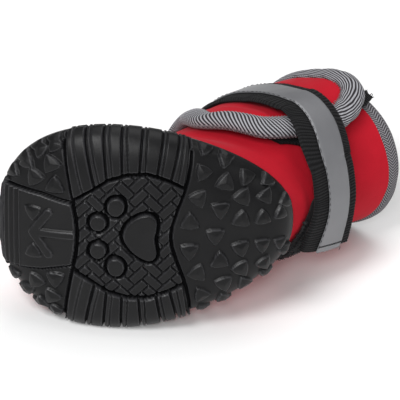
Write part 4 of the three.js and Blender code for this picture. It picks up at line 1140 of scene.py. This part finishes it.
def hookPlace(row, share):
    perLength = 1 / math.radians(upperSizes["shaftWidth"] / 2)
    shown = flapSizes["rollWidth"] / 2 + hookStrip["show"]
    shown = shown - hookStrip["tuck"] * ramp(*hookStrip["tuckRows"], row)
    shown = shown - hookStrip["foot"] * ramp(*hookStrip["footRows"], row)
    return row, readTable(hookPath, row) + shown * perLength - hookStrip["width"] * perLength * share


patch = {"from": 172.0, "to": 228.0, "top": [(0.0, 4.7), (0.5, 4.9), (1.0, 5.4)],
         "bottom": [(0.0, 3.5), (0.04, 3.15), (0.1, 2.95), (0.3, 2.72), (0.6, 2.8), (1.0, 3.4)]}


def patchPlace(up, share):
    row = blend(readTable(patch["bottom"], share), readTable(patch["top"], share), up)
    return row, blend(patch["from"], patch["to"], share)


upperSheet("hook_strip_sewn", hookStrip["rows"], hookPlace, gap, gap + flapSizes["stripThickness"], webbing,
           "hook_strip", (70, 24))
upperSheet("patch_loop", (0, 1), patchPlace, gap, gap + strapSizes["patch"], loopFelt,
           "loop_patch", (50, 60), 0.25)
print("straps ready")

# Threads: small round cords laid along lines of points


def layThreads(name, lines, radius, finish, sides=5):
    turn = circle(sides)[:, None]
    points, faces, count = [], [], 0
    for line in lines:
        line = np.asarray(line, float)
        way = unit(np.gradient(line, axis=0))
        side = unit(np.cross(way, [0.31, 0.52, 0.79]))
        up = np.cross(side, way)
        girth = np.full((len(line), 1, 1), radius)
        girth[[0, -1]] *= 0.6
        rings = line[:, None] + girth * (side[:, None] * np.cos(turn) + up[:, None] * np.sin(turn))
        points.append(rings.reshape(-1, 3))
        faces += tubeFaces(len(line), sides, count)
        count += len(line) * sides
    makeMesh(name, np.concatenate(points), faces, finish)


def wander(source, start, way, length, curl):
    # a loose thread: starts one way and drifts
    steps = 6
    line, way = [start], unit(way)
    for _ in range(steps):
        way = unit(way + curl * source.normal(size=3))
        line.append(line[-1] + way * length / steps)
    return line


def skinSpot(place, lift):
    # one point over a row and an angle in degrees, and the way out there
    row, radians = np.array([place[0]]), np.radians([place[1]])
    return upperPoint(row, radians, [lift])[0], skinNormal(row, radians)[0]


stitchSizes = {"long": 0.9, "gap": 0.75, "endInset": 2.2, "radius": 0.07, "endCount": 27}


def tapeStitches():
    top, half = strapSizes["tapeTop"], strapSizes["tapeWidth"] / 2
    fine, at = strapLine(400)
    lines = []
    for edge in (-half, half):
        stop = at[-1] - stitchSizes["endInset"] - 1
        for start in np.arange(0.4, stop, stitchSizes["long"] + stitchSizes["gap"]):
            place = np.interp(start + np.linspace(0, stitchSizes["long"], 4), at, fine)
            height = top + np.array([-0.05, 0.05, 0.05, -0.05])
            lines.append(strapPoint(place, np.full(4, edge + strapSizes["tapeShift"]), height))
    # two rows close the tape's end
    count = stitchSizes["endCount"]
    across = np.linspace(-half, half, count) + strapSizes["tapeShift"]
    zigzag = at[-1] - stitchSizes["endInset"] + 0.16 * (np.arange(count) % 2)
    zigzag = zigzag - strapSizes["slant"] * (across / strapSizes["width"] + 0.5) * at[-1] * 0.9
    for onward, above in ((0.0, 0.06), (0.22, 0.04)):
        lines.append(strapPoint(np.interp(zigzag + onward, at, fine), across, np.full(count, top + above)))
    layThreads("stitches_tape", lines, stitchSizes["radius"], blackThread)


def rollStitches():
    # short threads whip the rolled binding's inner edge to the jersey
    up, over, _ = rollPath(170)
    row, angle = flapPlace(up, over)
    centre = rollCentre(up, over)
    normal = skinNormal(row, np.radians(angle))
    side = unit(np.cross(unit(np.gradient(centre, axis=0)), normal))
    side *= np.sign(((centre.mean(0) - centre) * side).sum())
    source = np.random.default_rng(21)
    base = flapSizes["rollWidth"] / 2 - 0.35
    lines = []
    for k in range(1, len(up) - 1):
        away = source.uniform(0.1, 0.5)
        lean = unit(centre[k + 1] - centre[k]) * source.uniform(0.1, 0.4)
        shape = ((base, 0.0, 0.8), (base + 0.35, 0.6, 0.8), (base + 0.4 + away, 1.0, 0.3))
        lines.append([centre[k] + side[k] * inwards + lean * onward + normal[k] * above
                      for inwards, onward, above in shape])
    layThreads("stitches_roll", lines, 0.12, greyThread, 4)


def looseEnds():
    # frayed ends of the hook strip, and pale threads along its edge
    source = np.random.default_rng(8)
    pale, black = [], []
    for row in source.uniform(4.15, 5.4, 16):
        start, outwards = skinSpot(hookPlace(row, 0.0), 0.7)
        way = outwards * 0.6 + source.normal(size=3) * 0.6
        pale.append(wander(source, start, way, source.uniform(0.7, 1.5), 0.5))
    stripTop = gap + flapSizes["bindingProud"]
    for share in np.linspace(0.0, 0.55, 26):
        row, angle = hookPlace(hookStrip["rows"][1], share)
        start, _ = skinSpot((row - 0.02, angle), stripTop + 0.4)
        ahead, _ = skinSpot((row + 0.1, angle), stripTop + 0.5)
        way = unit(ahead - start) + source.normal(size=3) * 0.35
        black.append(wander(source, start, way, source.uniform(0.6, 1.5), 0.45))
    layThreads("threads_pale", pale, 0.09, paleThread)
    layThreads("threads_black", black, 0.10, blackThread)


def makeArch(source, foot, out, tall, wide, count):
    lean = unit(np.cross(out, source.normal(size=3)))
    tall, wide = source.uniform(*tall), source.uniform(*wide)
    return [foot - lean * wide * math.cos(t) + out * tall * math.sin(t)
            for t in np.linspace(0, math.pi, count)]


def loopPile():
    # the patch's loops: little arches standing on the felt
    source = np.random.default_rng(31)
    lines = []
    for _ in range(900):
        share, up = source.uniform(0.01, 0.99), source.uniform(0.01, 0.99)
        foot, out = skinSpot(patchPlace(up, share), gap + strapSizes["patch"] - 0.1)
        lines.append(makeArch(source, foot, out, (0.25, 0.55), (0.18, 0.32), 6))
    # the edge's loops reach out further
    for share in source.uniform(0.3, 1.0, 150):
        row, angle = patchPlace(0.0, share)
        foot, _ = skinSpot((row, angle), gap + source.uniform(0.3, 1.2))
        beyond, _ = skinSpot((row - 0.06, angle), gap + 0.6)
        lines.append(makeArch(source, foot, unit(beyond - foot), (0.5, 1.3), (0.2, 0.4), 7))
    layThreads("patch_loops", lines, 0.075, loopThreadPaintedHighlight, 4)


tapeStitches()
rollStitches()
looseEnds()
loopPile()
print("threads ready")
